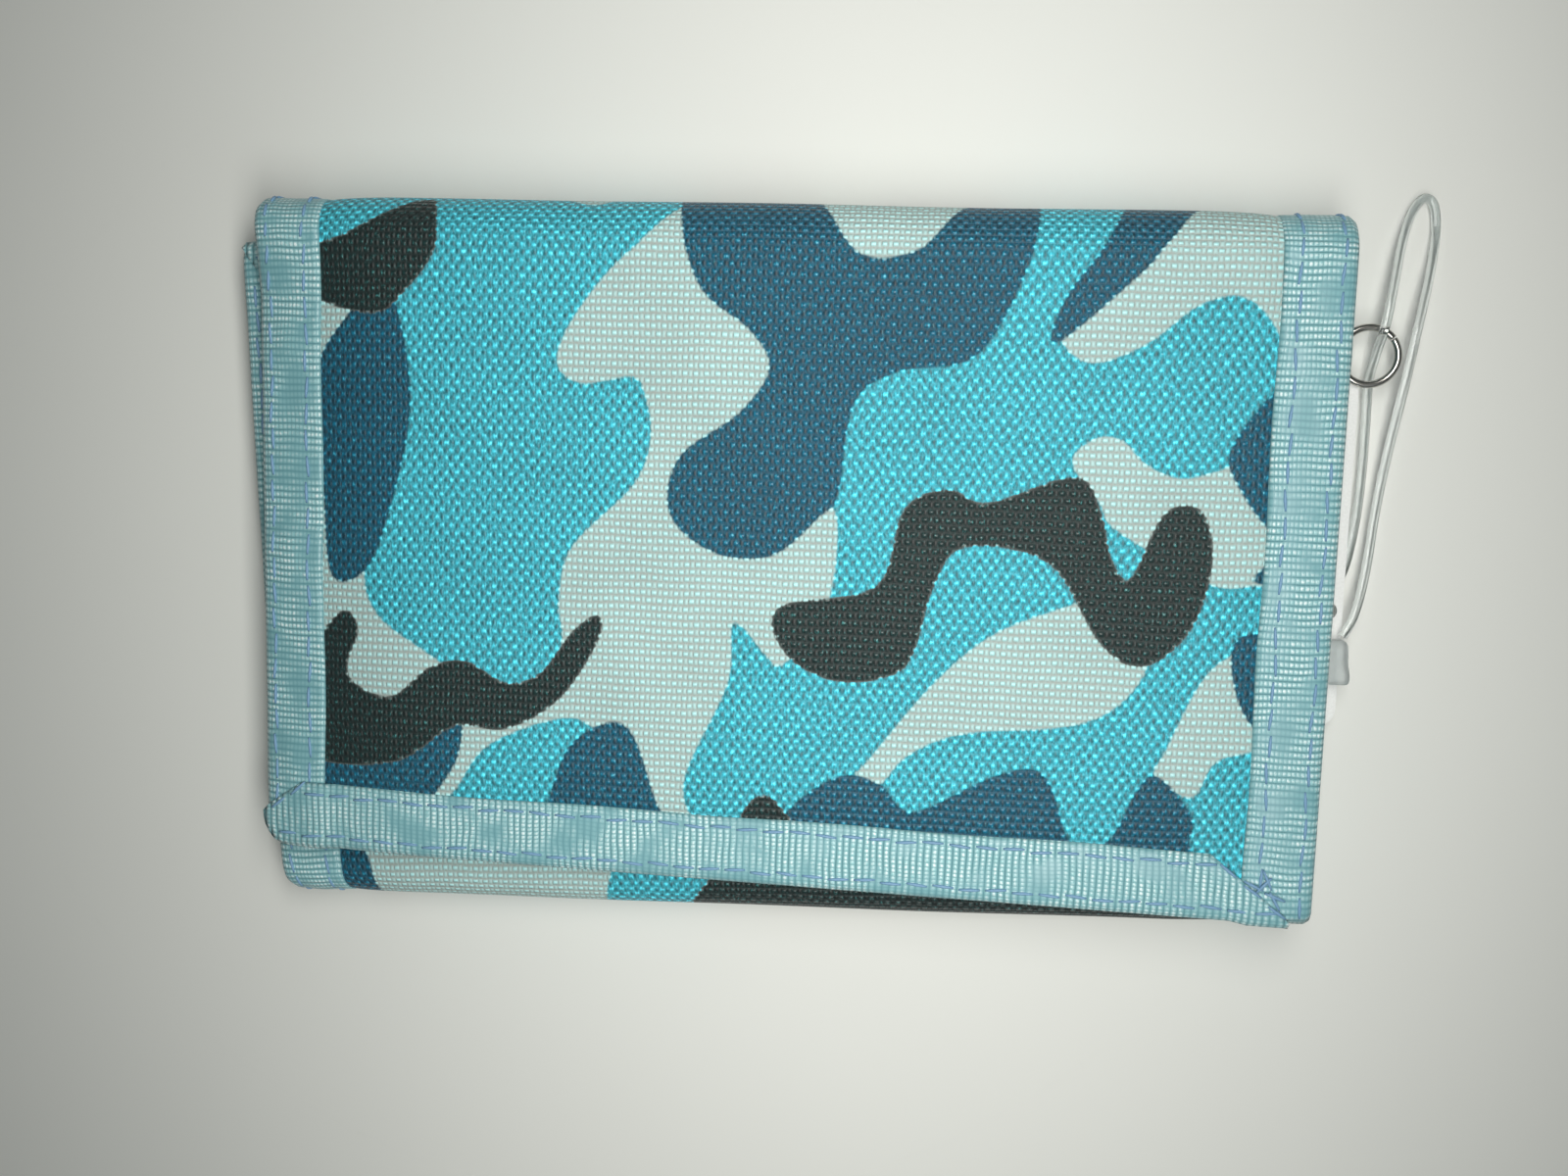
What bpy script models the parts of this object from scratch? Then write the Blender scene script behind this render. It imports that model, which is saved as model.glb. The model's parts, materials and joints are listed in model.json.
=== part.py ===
"""Trifold wallet of printed canvas, closed and lying on its back.

The wallet is drawn flat, as it is sewn, and then folded on its four hinge lines. X runs along
the folds, +Y towards the top fold, and +Z out of the front flap. In the flat drawing z is the
height above the outer cloth, so everything inside the wallet is above z = 0.
"""

from math import atan, hypot, pi, radians, sqrt, tan

import bmesh
import bpy
from mathutils import Matrix, Vector

MM = 0.001

# Overall sizes.
LEAF_WIDTH = 130 * MM
BACK_HEIGHT = 87.5 * MM
FLAP_CLEARANCE = 5.3 * MM
FLAP_LENGTH = BACK_HEIGHT - FLAP_CLEARANCE
INNER_CLEARANCE = 5.3 * MM
INNER_LENGTH = BACK_HEIGHT - INNER_CLEARANCE
FLAP_END_SLANT = tan(radians(1.2))
BOTTOM_FOLD_TILT = radians(1.45)

# Sheet materials.
CLOTH = 0.6 * MM
LINING = 0.3 * MM
TAPE = 0.5 * MM
GAP = 0.3 * MM
BINDING_WIDTH = 8.5 * MM
CROWN_RUN = 1.2 * MM

# Card pockets on the back leaf, slip pocket on the inner leaf.
CARD_POCKET_WIDTH = 93 * MM
CARD_POCKET_LOW = 5.5 * MM
CARD_TOP_ROOM = 14 * MM
CARD_TIER_STEP = 11 * MM
CARD_TIERS = 3
SLIP_POCKET_HEIGHT = 48 * MM

# Coin pocket and zip, on the outside of the inner leaf, measured from the bottom fold.
COIN_POCKET_WIDTH = 110 * MM
COIN_POCKET_LOW = 12 * MM
COIN_POCKET_DEPTH = 0.8 * MM
SEWN_EDGE = 3 * MM
ZIP_FROM_BINDING = 13.7 * MM
ZIP_LINE = INNER_LENGTH - BINDING_WIDTH - ZIP_FROM_BINDING
ZIP_SLOT = 6 * MM
ZIP_LENGTH = 106 * MM
ZIP_TAPE_WIDTH = 5 * MM
ZIP_TAPE = 0.4 * MM
TEETH_WIDTH = 0.6 * MM
TEETH_DEPTH = 0.8 * MM
TEETH_GAP = 0.9 * MM
ZIP_STOP = 2 * MM
SLIDER_LENGTH = 7 * MM
SLIDER_WIDTH = 5 * MM
SLIDER_PLATE = 0.5 * MM
SLIDER_NECK = 0.4 * MM
SLIDER_CLEARANCE = 0.3 * MM
PULL_LENGTH = 17 * MM
PULL_WIDTH = 4.4 * MM
PULL_THICKNESS = 0.5 * MM

# Hook and loop closure, and the clear window inside the flap.
PATCH_WIDTH = 96 * MM
PATCH_HEIGHT = 14 * MM
PATCH_FROM_FLAP_END = 11.7 * MM
LOOP_PATCH = 0.9 * MM
HOOK_PATCH = 1.2 * MM
WINDOW_WIDTH = 96 * MM
WINDOW_FROM_FOLD = 5 * MM
WINDOW_TO_PATCH = 5.5 * MM
WINDOW_HEIGHT = FLAP_LENGTH - PATCH_FROM_FLAP_END - PATCH_HEIGHT - WINDOW_TO_PATCH - WINDOW_FROM_FOLD
WINDOW_SHEET = 0.3 * MM
FRAME_RIM = 5 * MM
FRAME_SHEET = 0.4 * MM

# Key ring, its tab, and the swing tag on its plastic loop.
RING_OUT = 4.3 * MM
RING_PLACE = Vector((LEAF_WIDTH / 2 + RING_OUT, 28 * MM))
RING_RADIUS = 3.4 * MM
RING_WIRE = 0.9 * MM
RING_SLACK = 0.25 * MM
TAB_WIDTH = 2.6 * MM
TAB_LENGTH = 5.4 * MM
TAB_SHEET = 0.25 * MM
CLOSE_GAP = 0.15 * MM
TAG_WIDTH = 30 * MM
TAG_HEIGHT = 43 * MM
TAG_SHEET = 0.25 * MM
TAG_OUT = 3.6 * MM
TAG_RIGHT = LEAF_WIDTH / 2 + TAG_OUT
TAG_TOP = 25.6 * MM
TAG_HOLE_RADIUS = 1.0 * MM
TAG_HOLE_INSET = 1.7 * MM
TAG_HOLE = Vector((TAG_RIGHT - TAG_HOLE_INSET, -3 * MM))
LOOP_STRAND = 1.1 * MM
LOCK_CENTRE = Vector((TAG_HOLE.x + 0.5 * MM, TAG_HOLE.y - 6 * MM, 5 * MM))
LOCK_SIZE = Vector((4.0, 5.4, 2.8)) * MM
LOOP_ROUTE = [
    (66.5, -5.9, 4.8), (66.7, -4.2, 4.3), (66.9, -3.0, 3.0), (67.4, -1.2, 1.9), (68.9, 2.5, 1.6),
    (69.7, 8.0, 1.7), (70.0, 14.0, 1.8), (70.0, 20.0, 1.9), (69.9, 24.8, 2.2), (70.1, 28.1, 3.8),
    (70.6, 31.6, 5.3), (71.4, 36.5, 4.6), (72.4, 41.5, 2.9), (73.6, 45.0, 1.5), (75.0, 46.8, 0.9),
    (76.3, 46.1, 0.8), (76.7, 42.8, 1.1), (75.8, 37.5, 3.0), (74.4, 31.5, 5.0), (73.4, 25.0, 5.2),
    (72.5, 17.5, 3.8), (71.7, 10.0, 3.0), (70.9, 2.0, 3.4), (69.7, -3.0, 4.6), (68.4, -5.9, 4.9),
]

# Heights in the flat drawing that follow from the sheets.
EDGE_LIFT = TAPE + GAP
LINING_LOW = EDGE_LIFT + CLOTH + GAP
LINING_TOP = LINING_LOW + LINING
EDGE_STACK = LINING_TOP + GAP + TAPE
INSIDE_LOW = LINING_TOP + GAP
RING_ROOM = RING_WIRE + 2 * (RING_SLACK + TAB_SHEET + CLOSE_GAP)
RING_HEIGHT = EDGE_STACK + RING_ROOM / 2
INNER_DEPTH = 2 * EDGE_STACK + RING_ROOM
SLIDER_LOW = GAP
TEETH_LOW = SLIDER_LOW + SLIDER_PLATE + SLIDER_CLEARANCE
SLIDER_TOP = TEETH_LOW + TEETH_DEPTH + SLIDER_CLEARANCE + SLIDER_PLATE
PULL_TOP = SLIDER_TOP + 0.2 * MM + PULL_THICKNESS
FLAP_INSIDE = INSIDE_LOW + WINDOW_SHEET + GAP + FRAME_SHEET
CLOSED_DEPTH = INNER_DEPTH + PULL_TOP + GAP + FLAP_INSIDE

# Fold and free-end lines of the flat drawing, each as (y at x = 0, slope).
TILT = tan(BOTTOM_FOLD_TILT)
TOP_FOLD = (BACK_HEIGHT / 2, 0.0)
FLAP_FOLD = (TOP_FOLD[0] + CLOSED_DEPTH, 0.0)
FLAP_END = (FLAP_FOLD[0] + FLAP_LENGTH, FLAP_END_SLANT)
BOTTOM_FOLD = (-BACK_HEIGHT / 2, TILT)
INNER_FOLD = (BOTTOM_FOLD[0] - INNER_DEPTH * hypot(1, TILT), TILT)
INNER_END = (INNER_FOLD[0] - INNER_LENGTH, tan(2 * BOTTOM_FOLD_TILT))

# Colours as linear RGB, with roughness and metallic value.
FINISHES = {
    "camo_canvas": ((0.10, 0.42, 0.55), 0.75, 0.0),
    "binding_tape": ((0.36, 0.58, 0.66), 0.45, 0.0),
    "lining": ((0.02, 0.035, 0.075), 0.8, 0.0),
    "pocket_cloth": ((0.03, 0.09, 0.19), 0.8, 0.0),
    "clear_sheet": ((0.80, 0.86, 0.88), 0.12, 0.0),
    "hook_and_loop": ((0.03, 0.05, 0.09), 0.95, 0.0),
    "zip_tape": ((0.04, 0.16, 0.30), 0.8, 0.0),
    "zip_teeth": ((0.12, 0.25, 0.38), 0.35, 0.0),
    "nickel": ((0.62, 0.61, 0.58), 0.25, 1.0),
    "tag_card": ((0.86, 0.87, 0.87), 0.55, 0.0),
    "clear_plastic": ((0.78, 0.82, 0.82), 0.2, 0.0),
}


def material(finish):
    found = bpy.data.materials.get(finish)
    if found:
        return found
    made = bpy.data.materials.new(finish)
    made.use_nodes = True
    shader = made.node_tree.nodes["Principled BSDF"]
    colour, roughness, metallic = FINISHES[finish]
    shader.inputs["Base Color"].default_value = (*colour, 1)
    shader.inputs["Roughness"].default_value = roughness
    shader.inputs["Metallic"].default_value = metallic
    made.diffuse_color = (*colour, 1)
    return made


def add_object(name, data, finish, hinge=None):
    """Adds an object drawn flat. A hinge empty then carries it when the wallet is folded."""
    made = bpy.data.objects.new(name, data)
    bpy.context.scene.collection.objects.link(made)
    data.materials.append(material(finish))
    if hinge:
        made.parent = hinge
        made.matrix_parent_inverse = Matrix(hinge["flat_inverse"])
    return made


def add_mesh(name, corners, faces, finish, hinge=None):
    mesh = bpy.data.meshes.new(name)
    shape = bmesh.new()
    points = [shape.verts.new(corner) for corner in corners]
    for face in faces:
        shape.faces.new([points[index] for index in face])
    bmesh.ops.recalc_face_normals(shape, faces=shape.faces)
    shape.to_mesh(mesh)
    shape.free()
    return add_object(name, mesh, finish, hinge)


def add_hinge(name, line, parent=None):
    """An empty on a fold line, with its X axis along the fold."""
    hinge = bpy.data.objects.new(name, None)
    hinge.empty_display_size = 10 * MM
    bpy.context.scene.collection.objects.link(hinge)
    start, slope = line
    flat = Matrix.Translation((0, start, 0)) @ Matrix.Rotation(atan(slope), 4, "Z")
    hinge["flat_inverse"] = [list(row) for row in flat.inverted()]
    hinge.matrix_world = flat
    if parent:
        hinge.parent = parent
        hinge.matrix_parent_inverse = Matrix(parent["flat_inverse"])
    return hinge


def fold(hinge, angle):
    hinge.matrix_basis = hinge.matrix_basis @ Matrix.Rotation(angle, 4, "X")


# Sheets. A row line is (y at x = 0, slope, inset, lean): inset moves it into the sheet, and lean
# moves it further in by the height, which mitres the end at a fold.


def row_y(row, x, height):
    start, slope, inset, lean = row
    return start + slope * x + (inset + lean * height) * hypot(1, slope)


def fold_row(line, side):
    return (*line, side * GAP * 0.7, side)


def free_row(line, side, inset):
    return (*line, side * inset, 0)


def sheet(name, columns, rows, lows, thickness, finish, hinge=None):
    """A closed sheet over a grid of column x values and row lines. lows[row][column] is the
    height of its underside."""
    corners = []
    for layer in (0, thickness):
        for row, row_lows in zip(rows, lows):
            for x, low in zip(columns, row_lows):
                height = low + layer
                corners.append((x, row_y(row, x, height), height))
    wide, high = len(columns), len(rows)
    top = wide * high
    faces = []
    for j in range(high - 1):
        for i in range(wide - 1):
            a = j * wide + i
            faces.append((a, a + wide, a + wide + 1, a + 1))
            faces.append((top + a, top + a + 1, top + a + wide + 1, top + a + wide))
    rim = [i for i in range(wide)] + [j * wide + wide - 1 for j in range(1, high)]
    rim += [(high - 1) * wide + i for i in range(wide - 2, -1, -1)]
    rim += [j * wide for j in range(high - 2, 0, -1)]
    for a, b in zip(rim, rim[1:] + rim[:1]):
        faces.append((a, b, top + b, top + a))
    return add_mesh(name, corners, faces, finish, hinge)


def flat_sheet(name, half_width, rows, low, thickness, finish, hinge=None, centre=0.0):
    columns = [centre - half_width, centre + half_width]
    return sheet(name, columns, rows, [[low, low]] * 2, thickness, finish, hinge)


def bound_sheet(name, rows, crowned, low, thickness, finish, hinge=None):
    """A sheet whose sides lie inside the bindings. A crowned sheet drops by EDGE_LIFT between
    them, so that the cloth and the bindings share one outer plane."""
    half = LEAF_WIDTH / 2 - TAPE - GAP
    shoulder = LEAF_WIDTH / 2 - BINDING_WIDTH - GAP
    columns = [-half, -shoulder, CROWN_RUN - shoulder, shoulder - CROWN_RUN, shoulder, half]
    drop = EDGE_LIFT if crowned else 0
    lows = []
    for row in rows:
        inner = low if row in crowned_rows(rows) else low - drop
        lows.append([low, low, inner, inner, low, low])
    return sheet(name, columns, rows, lows, thickness, finish, hinge)


def crowned_rows(rows):
    """The rows at a free end, which stay at the edge's height: those before the crown's step."""
    if len(rows) < 4:
        return []
    return rows[:2] if rows[0][3] == 0 else rows[-2:]


def leaf_rows(fold_line, end_line, side):
    """Rows from a fold to a free end. side is +1 where the leaf lies towards +Y of its fold."""
    shoulder = BINDING_WIDTH + GAP
    rows = [fold_row(fold_line, side)]
    for inset in (shoulder + CROWN_RUN, shoulder, TAPE + GAP):
        rows.append(free_row(end_line, -side, inset))
    return rows


# Bindings. Each is a U-shaped tape along an edge. A cut is (point on the cut's line, normal
# into the binding, offset, lean), and lean again mitres it by height.


def fold_cut(line, side):
    normal = Vector((-line[1], 1)).normalized() * side
    return Vector((0, line[0])), normal, GAP * 0.7, 1


def mitre_cut(corner, along, other):
    """The cut of a binding that runs along a direction and meets another at a corner."""
    normal = (along.normalized() - other.normalized()).normalized()
    return corner, normal, GAP / 2, 0


def binding(name, start, end, inward, cuts, hinge=None):
    profile = [
        (0, 0), (BINDING_WIDTH, 0), (BINDING_WIDTH, TAPE), (TAPE, TAPE),
        (TAPE, EDGE_STACK - TAPE), (BINDING_WIDTH, EDGE_STACK - TAPE),
        (BINDING_WIDTH, EDGE_STACK), (0, EDGE_STACK),
    ]
    along = (end - start).normalized()
    corners = []
    for base, direction, cut in ((start, along, cuts[0]), (end, along, cuts[1])):
        point, normal, offset, lean = cut
        for depth, height in profile:
            edge = base + inward * depth
            run = (offset + lean * height - (edge - point).dot(normal)) / direction.dot(normal)
            place = edge + direction * run
            corners.append((place.x, place.y, height))
    count = len(profile)
    faces = [tuple(range(count)), tuple(range(2 * count - 1, count - 1, -1))]
    for i in range(count):
        j = (i + 1) % count
        faces.append((i, i + count, j + count, j))
    return add_mesh(name, corners, faces, "binding_tape", hinge)


def side_bindings(leaf, low_cut, high_cut, hinge=None):
    """Left and right bindings between two cuts, each given for both sides."""
    half = LEAF_WIDTH / 2
    for side, word in ((-1, "left"), (1, "right")):
        start = Vector((side * half, low_cut[side][0].y))
        end = Vector((side * half, high_cut[side][0].y))
        inward = Vector((-side, 0))
        binding(f"{leaf}_binding_{word}", start, end, inward, (low_cut[side], high_cut[side]), hinge)


def both(cut):
    return {-1: cut, 1: cut}


def end_corners(line):
    half = LEAF_WIDTH / 2
    return {side: Vector((side * half, line[0] + side * half * line[1])) for side in (-1, 1)}


def end_binding(name, line, side, hinge):
    """The binding of a free end, mitred at both corners."""
    corners = end_corners(line)
    along = (corners[1] - corners[-1]).normalized()
    inward = Vector((-along.y, along.x)) * -side
    down = Vector((0, -side))
    cuts = (mitre_cut(corners[-1], along, down), mitre_cut(corners[1], -along, down))
    binding(name, corners[-1], corners[1], inward, cuts, hinge)


def free_cuts(line, side):
    """The side bindings' cuts at the corners of a free end."""
    corners = end_corners(line)
    across = (corners[1] - corners[-1]).normalized()
    down = Vector((0, -side))
    return {
        -1: mitre_cut(corners[-1], down, across),
        1: mitre_cut(corners[1], down, -across),
    }


# Leaves and spines.


def build_shell_and_lining(leaf, rows, hinge):
    bound_sheet(f"{leaf}_shell", rows, True, EDGE_LIFT, CLOTH, "camo_canvas", hinge)
    bound_sheet(f"{leaf}_lining", rows, False, LINING_LOW, LINING, "lining", hinge)


def build_back():
    rows = [fold_row(BOTTOM_FOLD, 1), fold_row(TOP_FOLD, -1)]
    build_shell_and_lining("back", rows, None)
    side_bindings("back", both(fold_cut(BOTTOM_FOLD, 1)), both(fold_cut(TOP_FOLD, -1)))
    left = -(LEAF_WIDTH / 2 - BINDING_WIDTH - GAP)
    centre = left + CARD_POCKET_WIDTH / 2
    for tier in range(CARD_TIERS):
        height = BACK_HEIGHT - CARD_TOP_ROOM - CARD_POCKET_LOW - tier * CARD_TIER_STEP
        low = INSIDE_LOW + tier * (LINING + GAP)
        rows = [free_row(BOTTOM_FOLD, 1, CARD_POCKET_LOW), free_row(BOTTOM_FOLD, 1, CARD_POCKET_LOW + height)]
        name = f"card_pocket_{tier + 1}"
        flat_sheet(name, CARD_POCKET_WIDTH / 2, rows, low, LINING, "pocket_cloth", centre=centre)


def build_spine(name, low_line, high_line, hinge):
    rows = [fold_row(low_line, 1), fold_row(high_line, -1)]
    build_shell_and_lining(name, rows, hinge)
    side_bindings(name, both(fold_cut(low_line, 1)), both(fold_cut(high_line, -1)), hinge)


def build_flap(hinge):
    build_shell_and_lining("flap", leaf_rows(FLAP_FOLD, FLAP_END, 1), hinge)
    side_bindings("flap", both(fold_cut(FLAP_FOLD, 1)), free_cuts(FLAP_END, 1), hinge)
    end_binding("flap_binding_end", FLAP_END, 1, hinge)
    rows = [
        free_row((FLAP_END[0], 0.0), -1, PATCH_FROM_FLAP_END + PATCH_HEIGHT),
        free_row((FLAP_END[0], 0.0), -1, PATCH_FROM_FLAP_END),
    ]
    flat_sheet("hook_patch", PATCH_WIDTH / 2, rows, INSIDE_LOW, HOOK_PATCH, "hook_and_loop", hinge)
    low = free_row(FLAP_FOLD, 1, WINDOW_FROM_FOLD)
    high = free_row(FLAP_FOLD, 1, WINDOW_FROM_FOLD + WINDOW_HEIGHT)
    flat_sheet("id_window", WINDOW_WIDTH / 2 - 1 * MM, [low, high], INSIDE_LOW, WINDOW_SHEET, "clear_sheet", hinge)
    build_window_frame(hinge)


def build_window_frame(hinge):
    """A thin tape frame round the window, drawn as an outer and an inner loop."""
    low = INSIDE_LOW + WINDOW_SHEET + GAP
    bottom = FLAP_FOLD[0] + WINDOW_FROM_FOLD
    loops = []
    for inset in (0, FRAME_RIM):
        half = WINDOW_WIDTH / 2 - inset
        y0, y1 = bottom + inset, bottom + WINDOW_HEIGHT - inset
        loops.append([(-half, y0), (half, y0), (half, y1), (-half, y1)])
    corners = [(x, y, low + lift) for lift in (0, FRAME_SHEET) for loop in loops for x, y in loop]
    faces = []
    for i in range(4):
        j = (i + 1) % 4
        faces += [(i, j, j + 4, i + 4), (i + 8, i + 12, j + 12, j + 8)]
        faces += [(i, i + 8, j + 8, j), (i + 4, j + 4, j + 12, i + 12)]
    add_mesh("id_window_frame", corners, faces, "binding_tape", hinge)


def build_inner(hinge):
    build_shell_and_lining("inner", leaf_rows(INNER_FOLD, INNER_END, -1), hinge)
    side_bindings("inner", both(fold_cut(INNER_FOLD, -1)), free_cuts(INNER_END, -1), hinge)
    end_binding("inner_binding_end", INNER_END, -1, hinge)
    rows = [free_row(INNER_FOLD, -1, 5.5 * MM), free_row(INNER_FOLD, -1, 5.5 * MM + SLIP_POCKET_HEIGHT)]
    half = LEAF_WIDTH / 2 - BINDING_WIDTH - GAP
    flat_sheet("slip_pocket", half, rows, INSIDE_LOW, LINING, "pocket_cloth", hinge)


def inner_row(distance):
    return free_row(INNER_FOLD, -1, distance)


def build_coin_pocket(hinge):
    """Pieces outside the inner leaf lie at negative heights in the flat drawing."""
    half = COIN_POCKET_WIDTH / 2
    columns = [-half, SEWN_EDGE - half, half - SEWN_EDGE, half]
    sewn = -GAP - CLOTH
    field = -COIN_POCKET_DEPTH - CLOTH
    raised = -SLIDER_TOP
    slot_low = ZIP_LINE - ZIP_SLOT / 2
    stops = [COIN_POCKET_LOW, COIN_POCKET_LOW + 2 * MM, slot_low - 9 * MM, slot_low - 5 * MM, slot_low]
    lows = [[sewn] * 4, [sewn, field, field, sewn], [sewn, field, field, sewn]]
    lows += [[sewn, raised, raised, sewn]] * 2
    rows = [inner_row(stop) for stop in stops]
    sheet("coin_pocket_front", columns, rows, lows, CLOTH, "camo_canvas", hinge)
    slot_high = ZIP_LINE + ZIP_SLOT / 2
    end = INNER_LENGTH - BINDING_WIDTH - 4 * MM
    rows = [inner_row(stop) for stop in (slot_high, end - SEWN_EDGE, end)]
    lows = [[sewn, raised, raised, sewn], [sewn, raised, raised, sewn], [sewn] * 4]
    sheet("coin_pocket_top_strip", columns, rows, lows, CLOTH, "camo_canvas", hinge)
    patch_low = BACK_HEIGHT / 2 - (FLAP_LENGTH - BACK_HEIGHT / 2) + PATCH_FROM_FLAP_END
    rows = [inner_row(patch_low), inner_row(patch_low + PATCH_HEIGHT)]
    low = field - GAP - LOOP_PATCH
    flat_sheet("loop_patch", PATCH_WIDTH / 2, rows, low, LOOP_PATCH, "hook_and_loop", hinge)


def build_zip(hinge):
    half = ZIP_LENGTH / 2
    teeth_low = -TEETH_LOW - TEETH_DEPTH
    tape_low = teeth_low + (TEETH_DEPTH - ZIP_TAPE) / 2
    inner_edge = TEETH_GAP / 2
    for side, word in ((-1, "lower"), (1, "upper")):
        teeth = sorted((ZIP_LINE + side * inner_edge, ZIP_LINE + side * (inner_edge + TEETH_WIDTH)))
        rows = [inner_row(stop) for stop in teeth]
        flat_sheet(f"zip_teeth_{word}", half, rows, teeth_low, TEETH_DEPTH, "zip_teeth", hinge)
        near = inner_edge + TEETH_WIDTH + GAP
        tape = sorted((ZIP_LINE + side * near, ZIP_LINE + side * (near + ZIP_TAPE_WIDTH)))
        rows = [inner_row(stop) for stop in tape]
        # The tape runs under the raised edge of the pocket cloth and inside its sewn sides.
        flat_sheet(f"zip_tape_{word}", half - 2 * MM, rows, tape_low, ZIP_TAPE, "zip_tape", hinge)
    reach = inner_edge + TEETH_WIDTH
    for side, word in ((-1, "left"), (1, "right")):
        rows = [inner_row(ZIP_LINE - reach), inner_row(ZIP_LINE + reach)]
        centre = side * (half + GAP + ZIP_STOP / 2)
        name = f"zip_stop_{word}"
        flat_sheet(name, ZIP_STOP / 2, rows, teeth_low, TEETH_DEPTH, "nickel", hinge, centre=centre)


def slider_start():
    return ZIP_LENGTH / 2 - SLIDER_LENGTH - 1 * MM


def build_slider(hinge):
    """The slider is an I section along the zip: two plates joined by a neck between the rows."""
    wide, neck = SLIDER_WIDTH / 2, SLIDER_NECK / 2
    low, high = -SLIDER_TOP, -SLIDER_LOW
    section = [
        (-wide, low), (wide, low), (wide, low + SLIDER_PLATE), (neck, low + SLIDER_PLATE),
        (neck, high - SLIDER_PLATE), (wide, high - SLIDER_PLATE), (wide, high), (-wide, high),
        (-wide, high - SLIDER_PLATE), (-neck, high - SLIDER_PLATE), (-neck, low + SLIDER_PLATE),
        (-wide, low + SLIDER_PLATE),
    ]
    start = slider_start()
    corners = []
    for x in (start, start + SLIDER_LENGTH):
        for across, height in section:
            corners.append((x, row_y(inner_row(ZIP_LINE + across), x, height), height))
    count = len(section)
    faces = [tuple(range(count)), tuple(range(2 * count - 1, count - 1, -1))]
    for i in range(count):
        j = (i + 1) % count
        faces.append((i, i + count, j + count, j))
    add_mesh("zip_slider", corners, faces, "nickel", hinge)


def pull_pivot():
    """The pull's hinge line, along Y at the slider's middle, in the flat drawing."""
    x = slider_start() + SLIDER_LENGTH - 1 * MM
    height = -PULL_TOP + PULL_THICKNESS / 2
    return Vector((x, row_y(inner_row(ZIP_LINE), x, 0), height))


def build_pull(hinge):
    pivot = pull_pivot()
    reach = PULL_THICKNESS / 2
    rows = [inner_row(ZIP_LINE - PULL_WIDTH / 2), inner_row(ZIP_LINE + PULL_WIDTH / 2)]
    centre = pivot.x + reach - PULL_LENGTH / 2
    flat_sheet("zip_pull", PULL_LENGTH / 2, rows, -PULL_TOP, PULL_THICKNESS, "nickel", hinge, centre=centre)


# Key ring and swing tag.


def ring_bow():
    """How far the ring's wire bows inside the tab, each way from the pivot."""
    return (RING_RADIUS - sqrt(RING_RADIUS**2 - TAB_WIDTH**2 / 4)) / 2


def ring_pivot():
    return Vector((RING_PLACE.x - RING_RADIUS + ring_bow(), RING_PLACE.y, RING_HEIGHT))


def build_ring_tab():
    """A strip doubled round the ring's wire, its ends lying on the right binding."""
    inside = RING_WIRE / 2 + RING_SLACK
    outside = inside + TAB_SHEET
    fold_x = ring_pivot().x + RING_WIRE / 2 + ring_bow() + RING_SLACK + TAB_SHEET
    start_x = fold_x - TAB_LENGTH
    section = [
        (start_x, -outside), (fold_x, -outside), (fold_x, outside), (start_x, outside),
        (start_x, inside), (fold_x - TAB_SHEET, inside), (fold_x - TAB_SHEET, -inside), (start_x, -inside),
    ]
    corners = []
    for y in (RING_PLACE.y - TAB_WIDTH / 2, RING_PLACE.y + TAB_WIDTH / 2):
        corners += [(x, y, RING_HEIGHT + height) for x, height in section]
    count = len(section)
    faces = [tuple(range(count)), tuple(range(2 * count - 1, count - 1, -1))]
    for i in range(count):
        j = (i + 1) % count
        faces.append((i, i + count, j + count, j))
    add_mesh("ring_tab", corners, faces, "binding_tape")


def build_key_ring():
    """The ring hangs on an empty at the tab, where it swings."""
    hinge = bpy.data.objects.new("ring_swing", None)
    hinge.empty_display_size = 5 * MM
    hinge.location = ring_pivot()
    bpy.context.scene.collection.objects.link(hinge)
    bpy.ops.mesh.primitive_torus_add(
        major_radius=RING_RADIUS, minor_radius=RING_WIRE / 2, major_segments=48, minor_segments=12
    )
    ring = bpy.context.object
    ring.name = "key_ring"
    ring.data.materials.append(material("nickel"))
    ring.parent = hinge
    ring.location = (RING_RADIUS - ring_bow(), 0, 0)


def disc_cutter(name, centre, radius, low, high):
    bpy.ops.mesh.primitive_cylinder_add(radius=radius, depth=high - low, vertices=32)
    cutter = bpy.context.object
    cutter.name = name
    cutter.location = (centre.x, centre.y, (low + high) / 2)
    cutter.hide_render = True
    cutter.display_type = "WIRE"
    return cutter


def build_hang_tag():
    low = EDGE_STACK + CLOSE_GAP
    left = TAG_RIGHT - TAG_WIDTH
    columns = [left, TAG_RIGHT]
    rows = [(TAG_TOP - TAG_HEIGHT, 0, 0, 0), (TAG_TOP, 0, 0, 0)]
    tag = sheet("hang_tag", columns, rows, [[low, low]] * 2, TAG_SHEET, "tag_card")
    corner = tag.modifiers.new("rounded corners", "BEVEL")
    corner.width = 2 * MM
    corner.segments = 4
    corner.limit_method = "WEIGHT"
    weights = tag.data.attributes.new("bevel_weight_edge", "FLOAT", "EDGE")
    for edge in tag.data.edges:
        a, b = (tag.data.vertices[index].co for index in edge.vertices)
        weights.data[edge.index].value = float(abs(a.z - b.z) > TAG_SHEET / 2)
    hole = tag.modifiers.new("string hole", "BOOLEAN")
    hole.operation = "DIFFERENCE"
    hole.object = disc_cutter("tag_hole_cutter", TAG_HOLE, TAG_HOLE_RADIUS, low - MM, low + TAG_SHEET + MM)


def build_tag_lock():
    bpy.ops.mesh.primitive_cube_add(size=1)
    lock = bpy.context.object
    lock.name = "tag_lock"
    lock.data.transform(Matrix.Diagonal((*LOCK_SIZE, 1)))
    lock.location = LOCK_CENTRE
    lock.data.materials.append(material("clear_plastic"))
    round_off = lock.modifiers.new("soft edges", "BEVEL")
    round_off.width = 0.9 * MM
    round_off.segments = 3


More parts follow.
